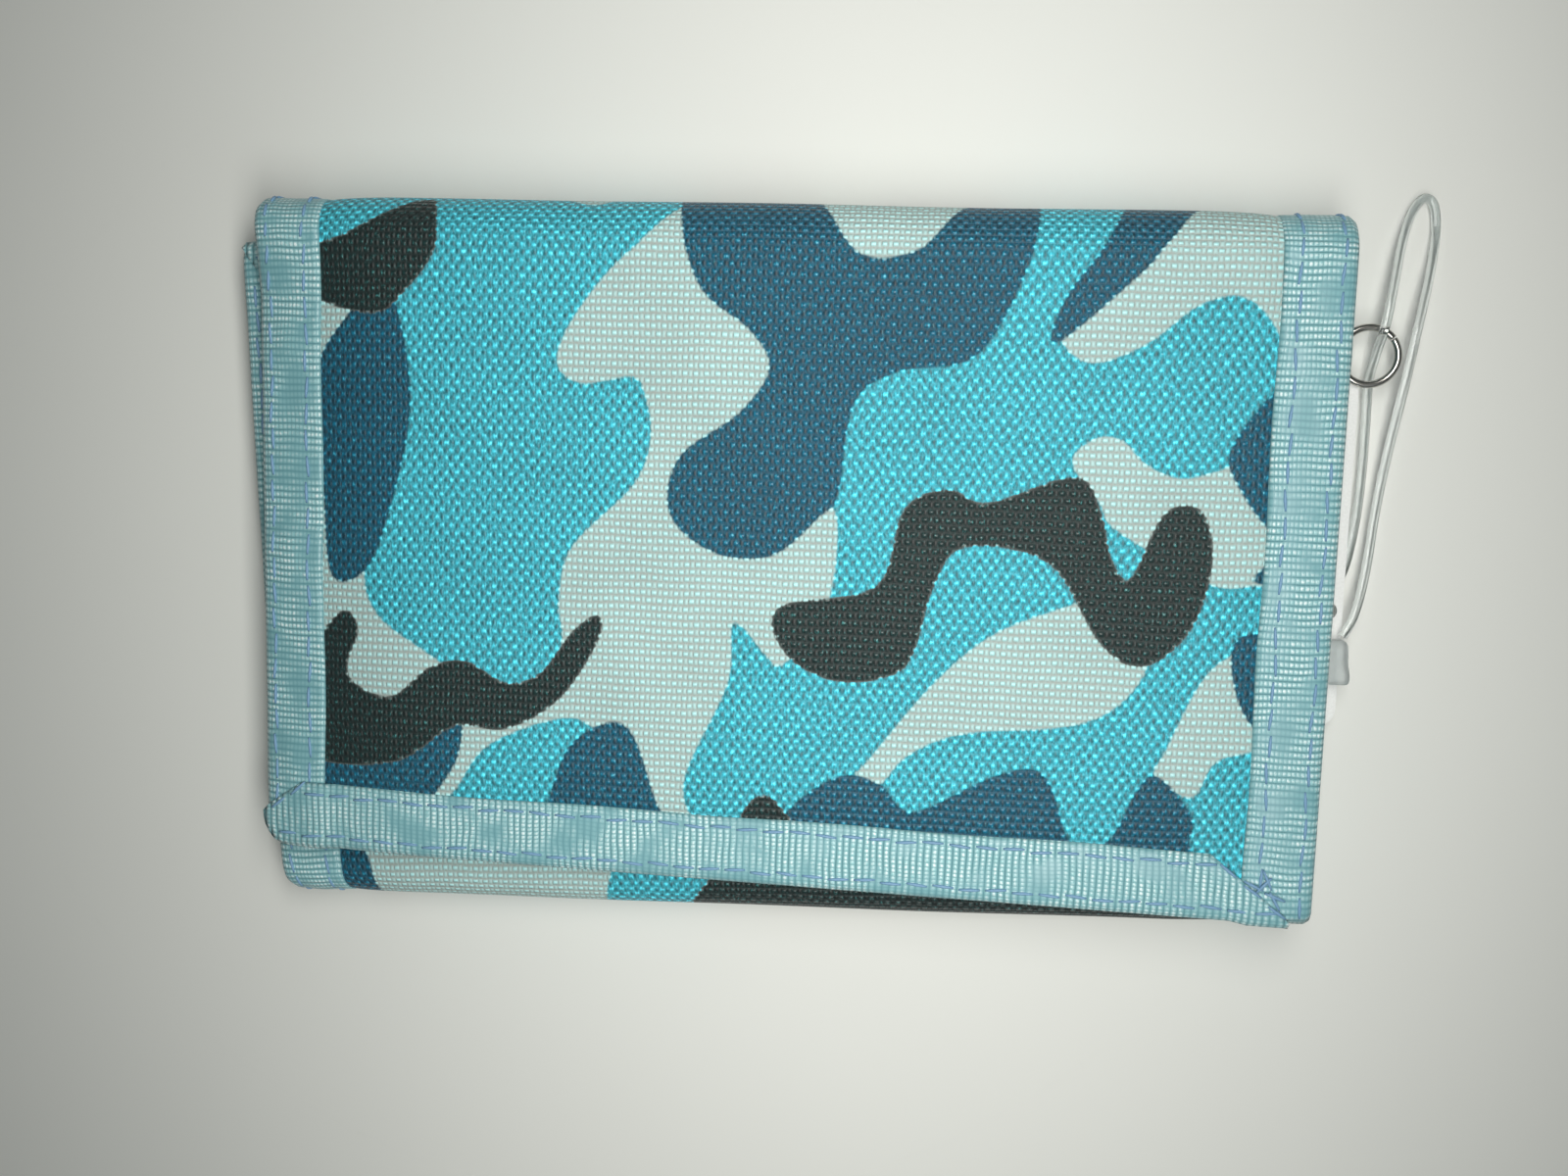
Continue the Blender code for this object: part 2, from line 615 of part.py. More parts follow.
def smooth_route(route, spacing):
    """Points about spacing apart on a Catmull-Rom curve through the route's points."""
    points = [Vector(point) * MM for point in route]
    padded = [2 * points[0] - points[1]] + points + [2 * points[-1] - points[-2]]
    curve = []
    for a, b, c, d in zip(padded, padded[1:], padded[2:], padded[3:]):
        steps = max(1, round((c - b).length / spacing))
        for step in range(steps):
            t = step / steps
            curve.append(
                0.5 * (2 * b + (c - a) * t + (2 * a - 5 * b + 4 * c - d) * t**2 + (3 * b - a - 3 * c + d) * t**3)
            )
    return curve + [points[-1]]


def build_tag_loop():
    curve = bpy.data.curves.new("tag_loop", "CURVE")
    curve.dimensions = "3D"
    curve.bevel_depth = LOOP_STRAND / 2
    curve.bevel_resolution = 2
    curve.use_fill_caps = True
    points = smooth_route(LOOP_ROUTE, 2.2 * LOOP_STRAND)
    spline = curve.splines.new("POLY")
    spline.points.add(len(points) - 1)
    for point, place in zip(spline.points, points):
        point.co = (*place, 1)
    add_object("tag_loop", curve, "clear_plastic")


def clear_scene():
    for old in list(bpy.data.objects):
        bpy.data.objects.remove(old, do_unlink=True)


def main():
    clear_scene()
    top_spine_hinge = add_hinge("top_spine_hinge", TOP_FOLD)
    flap_hinge = add_hinge("flap_hinge", FLAP_FOLD, top_spine_hinge)
    bottom_spine_hinge = add_hinge("bottom_spine_hinge", BOTTOM_FOLD)
    inner_hinge = add_hinge("inner_hinge", INNER_FOLD, bottom_spine_hinge)
    build_back()
    build_spine("top_spine", TOP_FOLD, FLAP_FOLD, top_spine_hinge)
    build_flap(flap_hinge)
    build_spine("bottom_spine", INNER_FOLD, BOTTOM_FOLD, bottom_spine_hinge)
    build_inner(inner_hinge)
    build_coin_pocket(inner_hinge)
    build_zip(inner_hinge)
    build_slider(inner_hinge)
    build_pull(inner_hinge)
    build_ring_tab()
    build_key_ring()
    build_hang_tag()
    build_tag_lock()
    build_tag_loop()
    for hinge in (top_spine_hinge, flap_hinge):
        fold(hinge, pi / 2)
    for hinge in (bottom_spine_hinge, inner_hinge):
        fold(hinge, -pi / 2)
    bpy.context.view_layer.update()


main()
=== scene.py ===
import json
import math

import bmesh
import bpy
import numpy as np
from mathutils import Euler, Matrix, Vector


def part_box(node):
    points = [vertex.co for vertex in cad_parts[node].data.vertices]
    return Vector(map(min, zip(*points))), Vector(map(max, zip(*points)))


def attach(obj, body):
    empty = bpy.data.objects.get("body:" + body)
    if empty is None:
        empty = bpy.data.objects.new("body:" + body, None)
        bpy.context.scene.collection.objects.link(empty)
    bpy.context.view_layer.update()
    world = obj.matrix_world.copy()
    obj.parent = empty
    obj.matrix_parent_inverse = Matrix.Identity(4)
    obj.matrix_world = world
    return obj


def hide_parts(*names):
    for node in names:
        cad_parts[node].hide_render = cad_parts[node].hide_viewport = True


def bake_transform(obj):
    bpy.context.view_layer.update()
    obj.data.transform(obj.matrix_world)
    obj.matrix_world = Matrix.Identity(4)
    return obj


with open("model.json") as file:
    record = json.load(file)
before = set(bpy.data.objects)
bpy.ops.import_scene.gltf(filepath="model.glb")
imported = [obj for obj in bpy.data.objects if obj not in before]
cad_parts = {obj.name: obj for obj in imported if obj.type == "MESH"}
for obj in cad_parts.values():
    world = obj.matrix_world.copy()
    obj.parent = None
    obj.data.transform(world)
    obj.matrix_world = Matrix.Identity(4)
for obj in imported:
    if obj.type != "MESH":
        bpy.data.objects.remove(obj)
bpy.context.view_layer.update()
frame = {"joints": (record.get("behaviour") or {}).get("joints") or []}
mm = 0.001
joints = {joint["name"]: joint for joint in frame["joints"]}
print("frame loaded")

# camera, floor and light

view = {
    "place": (19.3, 22.6, 200.0),  # mm from the middle of the wallet's back
    "turn": (-7.19, 5.87, 1.6),    # degrees
    "lens": 36.1,
}
# Place and size in mm, spread in degrees. The key lamp stands close over the wallet's right, so
# that its light falls off across the floor.
lamps = {
    "keyLamp": {"place": (40, 16, 205), "size": (60, 230), "spread": 104, "power": 0.195,
                "colour": "fffdf8"},
    "fillLamp": {"place": (120, -260, 300), "size": (300, 300), "spread": 180, "power": 0.056,
                 "colour": "f4fbff"},
}
room = {
    "sky": "c4d2d2",
    "skyStrength": 0.105,
    "floor": "e8eae6",
    "floorHalf": 2,        # m from its middle to its edge
    "floorDrop": 0.3,      # mm below the wallet's back
}


def linear(code):
    # an sRGB hex colour as linear RGBA
    parts = [int(code[i:i + 2], 16) / 255 for i in (0, 2, 4)]
    return (*[c / 12.92 if c <= 0.04045 else ((c + 0.055) / 1.055) ** 2.4 for c in parts], 1)


def addNode(tree, kind, inputs=(), **settings):
    # a node with its settings, and each input either a value or another node's output
    node = tree.nodes.new(kind)
    for name, value in settings.items():
        setattr(node, name, value)
    for socket, value in dict(inputs).items():
        if isinstance(value, bpy.types.NodeSocket):
            tree.links.new(value, node.inputs[socket])
        else:
            node.inputs[socket].default_value = value
    return node


def linkIn(thing):
    bpy.context.scene.collection.objects.link(thing)
    return thing


def makeCamera():
    camera = linkIn(bpy.data.objects.new("camera", bpy.data.cameras.new("camera")))
    camera.data.sensor_width = 36
    camera.data.lens = view["lens"]
    camera.data.clip_start = 0.01
    camera.location = Vector(view["place"]) * mm
    camera.rotation_euler = Euler([math.radians(a) for a in view["turn"]], "XYZ")
    bpy.context.scene.camera = camera


def makeLamp(name, place, size, spread, power, colour):
    lamp = bpy.data.lights.new(name, "AREA")
    lamp.shape = "RECTANGLE"
    lamp.size = size[0] * mm
    lamp.size_y = size[1] * mm
    lamp.spread = math.radians(spread)
    lamp.energy = power
    lamp.color = linear(colour)[:3]
    holder = linkIn(bpy.data.objects.new(name, lamp))
    holder.location = Vector(place) * mm
    holder.rotation_euler = Vector((0, 0, -1)).rotation_difference(-holder.location).to_euler()


def makeStage():
    bpy.context.scene.view_settings.view_transform = "Standard"
    for name, lamp in lamps.items():
        makeLamp(name, **lamp)
    sky = bpy.data.worlds.new("studio")
    bpy.context.scene.world = sky
    sky.use_nodes = True
    back = sky.node_tree.nodes["Background"]
    back.inputs["Color"].default_value = linear(room["sky"])
    back.inputs["Strength"].default_value = room["skyStrength"]
    shape = bmesh.new()
    bmesh.ops.create_grid(shape, x_segments=1, y_segments=1, size=room["floorHalf"])
    mesh = bpy.data.meshes.new("floor")
    shape.to_mesh(mesh)
    shape.free()
    mesh.transform(Matrix.Translation((0, 0, -room["floorDrop"] * mm)))
    mesh.materials.append(paintedBoard())
    linkIn(bpy.data.objects.new("floor", mesh))


def newFinish(name):
    made = bpy.data.materials.new(name)
    made.use_nodes = True
    return made, made.node_tree, made.node_tree.nodes["Principled BSDF"]


def paintedBoard():
    # matt painted board: even and dull, with a hardly visible mottle
    made, tree, shader = newFinish("paintedBoard")
    place = addNode(tree, "ShaderNodeTexCoord").outputs["Object"]
    mottle = addNode(tree, "ShaderNodeTexNoise", {"Vector": place, "Scale": 14, "Detail": 3})
    tone = addNode(tree, "ShaderNodeMapRange", {0: mottle.outputs["Fac"], 3: 0.975, 4: 1.02})
    colour = addNode(tree, "ShaderNodeVectorMath", {0: linear(room["floor"])[:3]}, operation="SCALE")
    tree.links.new(tone.outputs[0], colour.inputs["Scale"])
    tree.links.new(colour.outputs[0], shader.inputs["Base Color"])
    shader.inputs["Roughness"].default_value = 0.6
    return made


makeCamera()
makeStage()
print("camera, light and floor made")

# the wallet's lay: one flat strip, folded

# Flat drawing: x runs along the folds, s along the strip towards the flap's end, and h is the
# height above the outer cloth, towards the inside. All in mm.
topPivot = Vector(joints["flap_fold"]["pos_m"]) / mm
innerPivot = Vector(joints["inner_fold"]["pos_m"]) / mm
innerAxis = joints["inner_fold"]["axis"]
wallet = {
    "half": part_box("back_binding_right")[1].x / mm,  # half the width of a leaf
    "stack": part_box("back_binding_right")[1].z / mm,  # depth of one bound edge
    "topRound": 4.8,      # outer radius of the two top corners
    "bottomRound": 3.0,
    "squeeze": 0.42,      # how far the bottom spine's layers are pressed together
    "pinch": 1.9,         # how far the left end of the bottom fold is drawn in
    "pinchFrom": 45,      # from here outwards
    "pinchRun": 20,
    "topBend": 0.6,       # a bend is over this far short of the end of its corner
    "bottomBend": 0.5,
    "flapLength": 82.2,
    "flapSlant": 1.2,     # degrees: the flap's left side is the shorter one
    "innerLength": 82.2,
    "tape": 8.5,          # width of a binding on one face
    "round": 1.4,         # outer radius of a bound edge
}
halfBack = topPivot.y
closedDepth = topPivot.z
innerDepth = innerPivot.z
tilt = math.atan2(innerAxis[1], innerAxis[0])
slope = math.tan(tilt)
flapStart = halfBack + closedDepth
innerStart = -halfBack - innerDepth * math.hypot(1, slope)
midTop = halfBack + closedDepth / 2


def flapEnd(x):
    return flapStart + wallet["flapLength"] + x * math.tan(math.radians(wallet["flapSlant"]))


def innerEnd(x):
    return innerStart - wallet["innerLength"] + x * math.tan(2 * tilt)


def innerRow(x, away):
    # the strip's s at a distance from the inner leaf's fold
    return innerStart + x * slope - away * math.hypot(1, slope)


def midBottom(x):
    return -halfBack + x * slope - innerDepth / 2 * math.hypot(1, slope)


def turnOver(p, h, depth, r):
    # a sheet that lies flat, climbs a spine of this depth and comes back over itself:
    # its distance in from the fold, and its height
    first = np.clip((p / r + 1) / 2, 0, 1) * math.pi / 2
    second = np.clip(((p - depth) / r + 1) / 2, 0, 1) * math.pi / 2
    stages = [p < -r, p < r, p < depth - r, p < depth + r]
    inward = [-p, r - (r - h) * np.sin(first), h, r - (r - h) * np.cos(second)]
    height = [h, r - (r - h) * np.cos(first), p, depth - r + (r - h) * np.sin(second)]
    return np.select(stages, inward, p - depth), np.select(stages, height, depth - h)


def foldUp(points):
    x, s, h = np.asarray(points, float).T
    q, z = turnOver(s - halfBack, h, closedDepth, wallet["topRound"])
    top = np.stack([x, halfBack - q, z], 1)
    u = x * math.cos(tilt) + (s + halfBack) * math.sin(tilt)
    p = x * math.sin(tilt) - (s + halfBack) * math.cos(tilt)
    r = wallet["bottomRound"]
    near = np.clip(1 - np.abs(p - innerDepth / 2) / (innerDepth / 2 + 2 * r), 0, 1)
    pressed = h * (1 - wallet["squeeze"] * np.clip(near * 2.2, 0, 1))
    q, z = turnOver(p, np.where(h > 0, pressed, h), innerDepth, r)
    drawnIn = wallet["pinch"] * near**1.5 * np.clip((-u - wallet["pinchFrom"]) / wallet["pinchRun"], 0, 1)
    x = u * math.cos(tilt) - q * math.sin(tilt) + drawnIn
    low = np.stack([x, u * math.sin(tilt) + q * math.cos(tilt) - halfBack, z], 1)
    return np.where((s < 0)[:, None], low, top)


def boxOf(node):
    return [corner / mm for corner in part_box(node)]


def smoothStep(value, start, stop):
    t = np.clip((value - start) / (stop - start), 0, 1)
    return t * t * (3 - 2 * t)


def asPiece(name, mesh, finish):
    mesh.materials.append(finish)
    mesh.shade_smooth()
    piece = linkIn(bpy.data.objects.new(name, mesh))
    return piece


def pointsOf(mesh):
    points = np.empty(len(mesh.vertices) * 3)
    mesh.vertices.foreach_get("co", points)
    return points.reshape(-1, 3)


def markPoints(mesh, name, values):
    mark = mesh.attributes.new(name, "FLOAT_VECTOR", "POINT")
    mark.data.foreach_set("vector", np.asarray(values, np.float32).ravel())


def foldedPiece(name, shape, finish, folded=True):
    # a bmesh drawn in mm becomes a piece, folded with the strip
    mesh = bpy.data.meshes.new(name)
    shape.to_mesh(mesh)
    shape.free()
    flat = pointsOf(mesh)
    markPoints(mesh, "weave", flat)
    places = foldUp(flat) if folded else flat
    mesh.vertices.foreach_set("co", (places * mm).ravel())
    return asPiece(name, mesh, finish)


def weaveOnStrip(a, b, flat):
    return flat[:, 0], flat[:, 1]


def gridSheet(name, finish, steps, lay, outward, thickness, weave=weaveOnStrip, camo=False):
    # a sheet made from a grid: lay gives x, s, h for shares 0..1 across and along it, and
    # weave the thread coordinates in mm
    shape = bmesh.new()
    bmesh.ops.create_grid(shape, x_segments=steps[0], y_segments=steps[1], size=0.5)
    if outward:
        bmesh.ops.reverse_faces(shape, faces=shape.faces)
    mesh = bpy.data.meshes.new(name)
    shape.to_mesh(mesh)
    shape.free()
    share = pointsOf(mesh)[:, :2] + 0.5
    flat = np.stack(np.broadcast_arrays(*lay(share[:, 0], share[:, 1])), 1)
    threads = np.stack(np.broadcast_arrays(*weave(share[:, 0], share[:, 1], flat), 0.0), 1)
    markPoints(mesh, "weave", threads)
    if camo:
        markPoints(mesh, "camo", camoMarks(flat))
    mesh.vertices.foreach_set("co", (foldUp(flat) * mm).ravel())
    piece = asPiece(name, mesh, finish)
    if thickness:
        wall = piece.modifiers.new("thickness", "SOLIDIFY")
        wall.thickness = thickness * mm
        wall.offset = -1
    return piece


def bendTop(piece, leaf):
    # bakes a piece's placement into its mesh; both kinds of leaf are treated alike
    if leaf == "back":
        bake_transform(piece)
    else:
        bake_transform(piece)


def bendBottom(piece, leaf):
    if leaf == "back":
        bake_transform(piece)
    else:
        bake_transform(piece)


# the printed pattern

# Outlines in mm on the flap: x, and the distance down from the top fold.
camo = {
    "softEdge": 0.14,   # mm to each side of an outline in which one dye gives way to the other
    "rim": (0.26, 0.08),    # mm outside a black outline where its greyish rim begins and is full
    "reach": 3.0,       # mm round an outline in which its distance is worked out
    "turquoise": [
        [(-62, -6), (-62, 5), (-56, 8), (-51, 13), (-50.5, 22), (-51, 44), (-49.5, 51), (-43.5, 55.5),
         (-35, 60.5), (-30, 60.5), (-27, 57), (-26, 53), (-26.5, 49), (-25, 42), (-17.5, 34), (-15.5, 28),
         (-16.5, 22.5), (-18, 21), (-24, 22), (-27, 19.5), (-25, 14), (-19, 6.5), (-10, 0), (-10, -3),
         (-17, -3.5), (-22, 1.5), (-26, 1), (-28, -1), (-29, -5), (-40, -7)],
        [(26, -8), (25, 6), (18, 12), (8, 18), (3, 24), (3, 33), (7, 37), (6, 49), (1, 55.5), (-1, 54.5),
         (-5, 50.5), (-5.5, 58), (-10.5, 70), (-9.5, 75.5), (-6, 76.5), (0, 80), (20, 84), (62, 84),
         (62, 22), (58, 20), (56.5, 14), (52.5, 10), (47.5, 11), (42, 15.5), (36, 18), (32.5, 16),
         (33, 13), (42, 0), (44, -8)],
        [(-24, 63.5), (-34.5, 67), (-39, 73), (-41.5, 78), (-26, 80), (-20, 70)],
    ],
    "gap": [
        [(35, 46.5), (26, 50.5), (19, 57), (11.5, 67), (10, 69), (13, 70), (16.5, 66), (23, 63),
         (35, 61.5), (41, 58.5), (44, 53), (40, 50), (36, 46)],
        [(60, 51), (57, 50.5), (51, 54), (46.5, 64), (45.5, 67), (50, 69.5), (52.5, 65), (57.5, 63.5),
         (62, 63)],
        [(34, 29.5), (37, 26.5), (40, 27), (42.5, 29.5), (47.5, 31), (58, 28), (60, 36), (59, 43),
         (55.5, 43.5), (50.5, 43.5), (39.5, 37.5), (37.5, 34.5)],
    ],
    "navy": [
        [(-46.5, 13.5), (-45, 26), (-48.5, 41), (-51.5, 46.5), (-55.5, 46.5), (-56.5, 35), (-57.5, 30),
         (-57, 20.5), (-52.5, 14), (-49, 10)],
        [(-13, -7), (-13, 0), (-10, 10), (-4, 15), (-1.5, 19.5), (-5, 25), (-12, 30.5), (-13, 37.5),
         (-7.5, 42), (-0.5, 42), (5, 37), (7, 34.5), (8.5, 23.5), (13.5, 19.5), (23, 17), (29, 3.5),
         (27.5, -1.5), (22, -1.5), (21.5, 0), (16, 5), (9, 6), (3, -0.5), (2, -7)],
        [(40, -3), (38.5, 2), (33, 9.5), (31, 15.5), (35, 13), (48.5, -0.5), (50, -4), (45, -6)],
        [(57.5, 20), (52, 27.5), (53.5, 32.5), (58, 37.5), (62, 36), (62, 22)],
        [(55.5, 43), (57, 41), (60, 39), (61, 43)],
        [(54, 50), (54.5, 57), (58, 61.5), (62, 58), (61, 50)],
        [(45, 67), (50, 71.5), (50, 75), (50, 78), (38, 78), (41, 75)],
        [(2.5, 73.5), (8.5, 69), (13.5, 70), (15, 72), (18, 73), (27, 68), (32.5, 67.5), (35.5, 75),
         (37, 80), (0, 80)],
        [(-62, 66), (-45, 66), (-39, 63), (-39, 69), (-42.5, 75), (-44, 79), (-62, 79)],
        [(-24.5, 66.5), (-27.5, 74), (-28.5, 78), (-12.5, 78), (-14, 74), (-18, 64)],
    ],
    "black": [
        [(-55, 5.5), (-49, 3.5), (-44, 1.5), (-42.5, 2), (-42, 6), (-45.5, 11), (-50, 14), (-60, 11),
         (-61, 7)],
        [(0.5, 48.5), (12, 45.5), (15, 36), (20, 33.5), (24.5, 35), (34.5, 31.5), (37.5, 35.5), (39, 41),
         (41.5, 43.5), (45, 35.5), (49, 35), (50.5, 41), (48.5, 49), (43.5, 53.5), (38.5, 51),
         (32, 41.5), (22, 40), (18.5, 45), (16.5, 53), (14, 56), (7.5, 57), (1.5, 54)],
        [(-54, 51.5), (-52, 53.5), (-53.5, 58), (-52.5, 60.5), (-47.5, 62), (-42.5, 58), (-38, 57),
         (-33, 59.5), (-28.5, 58), (-24.5, 52.5), (-21.5, 50.5), (-22, 54), (-26.5, 61), (-33, 65),
         (-39.5, 65), (-47, 70), (-58, 70.5), (-61, 66), (-59, 58)],
        [(-4, 76.5), (-3, 74), (-1.5, 72.3), (0, 72.4), (1.5, 74), (3, 76), (4, 79), (-5, 79)],
    ],
    # the strip's own stretch over the bottom fold, in x and s
    "foldTurquoise": [[(-21, -45), (-9, -44), (-6, -52), (-9, -60), (-19, -60)]],
    "foldNavy": [[(-58, -44), (-52.5, -44), (-52, -52), (-53.5, -60), (-58, -60)]],
    # a dark band along the bottom fold: partly black print, partly painted shade on the fold's side under
    # the flap's end
    "foldBlackAndShade": [[(-8, -46), (24, -44), (60, -45), (66, -52), (40, -56), (10, -55), (-6, -57)]],
}
# The print repeats along the strip: this turns a flap outline into strip points.
repeats = (
    lambda x, d: (x, flapStart + np.where(d > 5, (d - 5) * 0.98 + 5, np.where(d > 0, 2 * d - 5, d - 5))),
    lambda x, d: (12 - x, halfBack - 4.2 - d),
    lambda x, d: (x - 20, d - 142.4),
)


def closedCurve(outline, steps=6):
    # points on a closed Catmull-Rom curve through the outline's points
    b = np.array(outline, float)
    a, c, d = np.roll(b, 1, 0), np.roll(b, -1, 0), np.roll(b, -2, 0)
    rows = []
    for step in range(steps):
        t = step / steps
        rows.append(0.5 * (2 * b + (c - a) * t + (2 * a - 5 * b + 4 * c - d) * t**2
                           + (3 * b - a - 3 * c + d) * t**3))
    return np.stack(rows, 1).reshape(-1, 2)


def outlineDistance(points, ring, reach):
    # signed distance to a closed outline, negative inside, no further than reach
    found = np.full(len(points), reach)
    near = ((points > ring.min(0) - reach) & (points < ring.max(0) + reach)).all(1)
    if not near.any():
        return found
    p = points[near][:, None]
    a, b = ring[None], np.roll(ring, -1, 0)[None]
    along = b - a
    t = np.clip(((p - a) * along).sum(2) / ((along**2).sum(2) + 1e-9), 0, 1)
    away = np.sqrt(((p - a - t[..., None] * along) ** 2).sum(2)).min(1)
    over = (a[..., 1] > p[..., 1]) != (b[..., 1] > p[..., 1])
    rise = np.where(along[..., 1] == 0, 1e-9, along[..., 1])
    crossed = over & (p[..., 0] < a[..., 0] + along[..., 0] * (p[..., 1] - a[..., 1]) / rise)
    inside = crossed.sum(1) % 2 == 1
    found[near] = np.minimum(np.where(inside, -away, away), reach)
    return found


def nearest(points, colour):
    # the least signed distance to any outline of a colour, in every repeat of the print
    found = np.full(len(points), camo["reach"])
    for repeat in repeats:
        for outline in camo[colour]:
            ring = closedCurve(outline)
            ring = np.stack(repeat(ring[:, 0], ring[:, 1]), 1)
            found = np.minimum(found, outlineDistance(points, ring, camo["reach"]))
    return found


def nearestOnFold(points, colour):
    rings = [closedCurve(outline) for outline in camo[colour]]
    return np.min([outlineDistance(points, ring, camo["reach"]) for ring in rings], 0)


def camoMarks(flat):
    points = flat[:, :2]
    turquoise = np.maximum(nearest(points, "turquoise"), -nearest(points, "gap"))
    turquoise = np.minimum(turquoise, nearestOnFold(points, "foldTurquoise"))
    navy = np.minimum(nearest(points, "navy"), nearestOnFold(points, "foldNavy"))
    # the black print, with the fold's band that is partly painted shade
    black = np.minimum(nearest(points, "black"), nearestOnFold(points, "foldBlackAndShade"))
    return np.stack([turquoise, navy, black], 1)


# finishes

canvas = {
    "pitchAcross": 0.657,   # mm between yarns, across and along the strip
    "pitchAlong": 0.909,
    "yarnRelief": 0.17,
    # the unprinted cloth in two copies: this one with painted highlight for the cushions' tops, the next
    # with painted shade for the yarn between them
    "ground": "c2fdff",
    "groundInShade": "a5b2ae",  # painted shade: the unprinted cloth down between the cushions
    "turquoise": "42bcd0",
    "navy": "085a74",
    "black": "0f2a2a",
    "rim": "5f6664",        # the black print's greyish rim
    "weftPaintedLight": (0.72, 1.72),   # painted light on a dyed weft cushion: shade at its foot, highlight at its top
    "warpPaintedShade": (0.9, 0.34),   # and painted shade in the pit over a warp yarn
    "paintedSparkle": 0.5,         # painted sparkle: how much lighter the glinting fibres, and darker the others, are painted
    "paintedGlint": (0.09, 0.34, 0.34),  # painted highlight: what the glints of the shiniest fibres add to a dye
}
tapeFinish = {
    "ribPitch": 0.82,       # mm, across the tape's length
    "yarnPitch": 0.53,
    "relief": 0.13,
    # painted highlight: the ribs' crests
    "light": "a5d9dd",
    # painted shade: down between the ribs
    "dark": "5b929c",
    "smooth": "6ba0aa",     # where the ribs are pressed flat
    "glint": "ecfdff",      # single fibres that catch the light
}


def yarnWaves(tree, pitchX, pitchY, drift):
    # the two sine waves of a weave, from the threads' coordinates with a slow drift
    weave = addNode(tree, "ShaderNodeAttribute", attribute_name="weave").outputs["Vector"]
    slow = addNode(tree, "ShaderNodeTexNoise", {"Vector": weave, "Scale": 0.16, "Detail": 1})
    shift = addNode(tree, "ShaderNodeVectorMath", {0: slow.outputs["Color"], 1: (-0.5,) * 3})
    shifted = addNode(tree, "ShaderNodeVectorMath",
                      {0: shift.outputs[0], 1: (drift,) * 3, 2: weave}, operation="MULTIPLY_ADD")
    scale = (math.pi / pitchX, math.pi / pitchY, 0)
    phase = addNode(tree, "ShaderNodeVectorMath", {0: shifted.outputs[0], 1: scale}, operation="MULTIPLY")
    wave = addNode(tree, "ShaderNodeVectorMath", {0: phase.outputs[0]}, operation="SINE")
    parts = addNode(tree, "ShaderNodeSeparateXYZ", {0: wave.outputs[0]})
    return weave, parts.outputs[0], parts.outputs[1]


def sharpened(tree, wave, exponent):
    # a wave's size: an exponent over 1 narrows its crests, and one under 1 broadens them
    size = addNode(tree, "ShaderNodeMath", {0: wave}, operation="ABSOLUTE").outputs[0]
    return addNode(tree, "ShaderNodeMath", {0: size, 1: exponent}, operation="POWER").outputs[0]


def plainWeave(tree, pitchX, pitchY, drift=0.5):
    # cushion heights 0..1 of a plain weave: weft over in every other cell, warp in the rest
    weave, waveX, waveY = yarnWaves(tree, pitchX, pitchY, drift)
    cell = addNode(tree, "ShaderNodeMath", {0: waveX, 1: waveY}, operation="MULTIPLY")
    over = addNode(tree, "ShaderNodeMapRange", {0: cell.outputs[0], 1: -0.22, 2: 0.02})
    weft = addNode(tree, "ShaderNodeMath",
                   {0: sharpened(tree, waveX, 0.28), 1: sharpened(tree, waveY, 1.9)},
                   operation="MULTIPLY")
    warp = addNode(tree, "ShaderNodeMath",
                   {0: sharpened(tree, waveX, 1.2), 1: sharpened(tree, waveY, 0.8)},
                   operation="MULTIPLY")
    low = addNode(tree, "ShaderNodeMath", {0: warp.outputs[0], 1: 0.55}, operation="MULTIPLY")
    height = addNode(tree, "ShaderNodeMix", {0: over.outputs[0], 2: low.outputs[0], 3: weft.outputs[0]})
    return weave, height.outputs[0], (over.outputs[0], weft.outputs[0], warp.outputs[0])


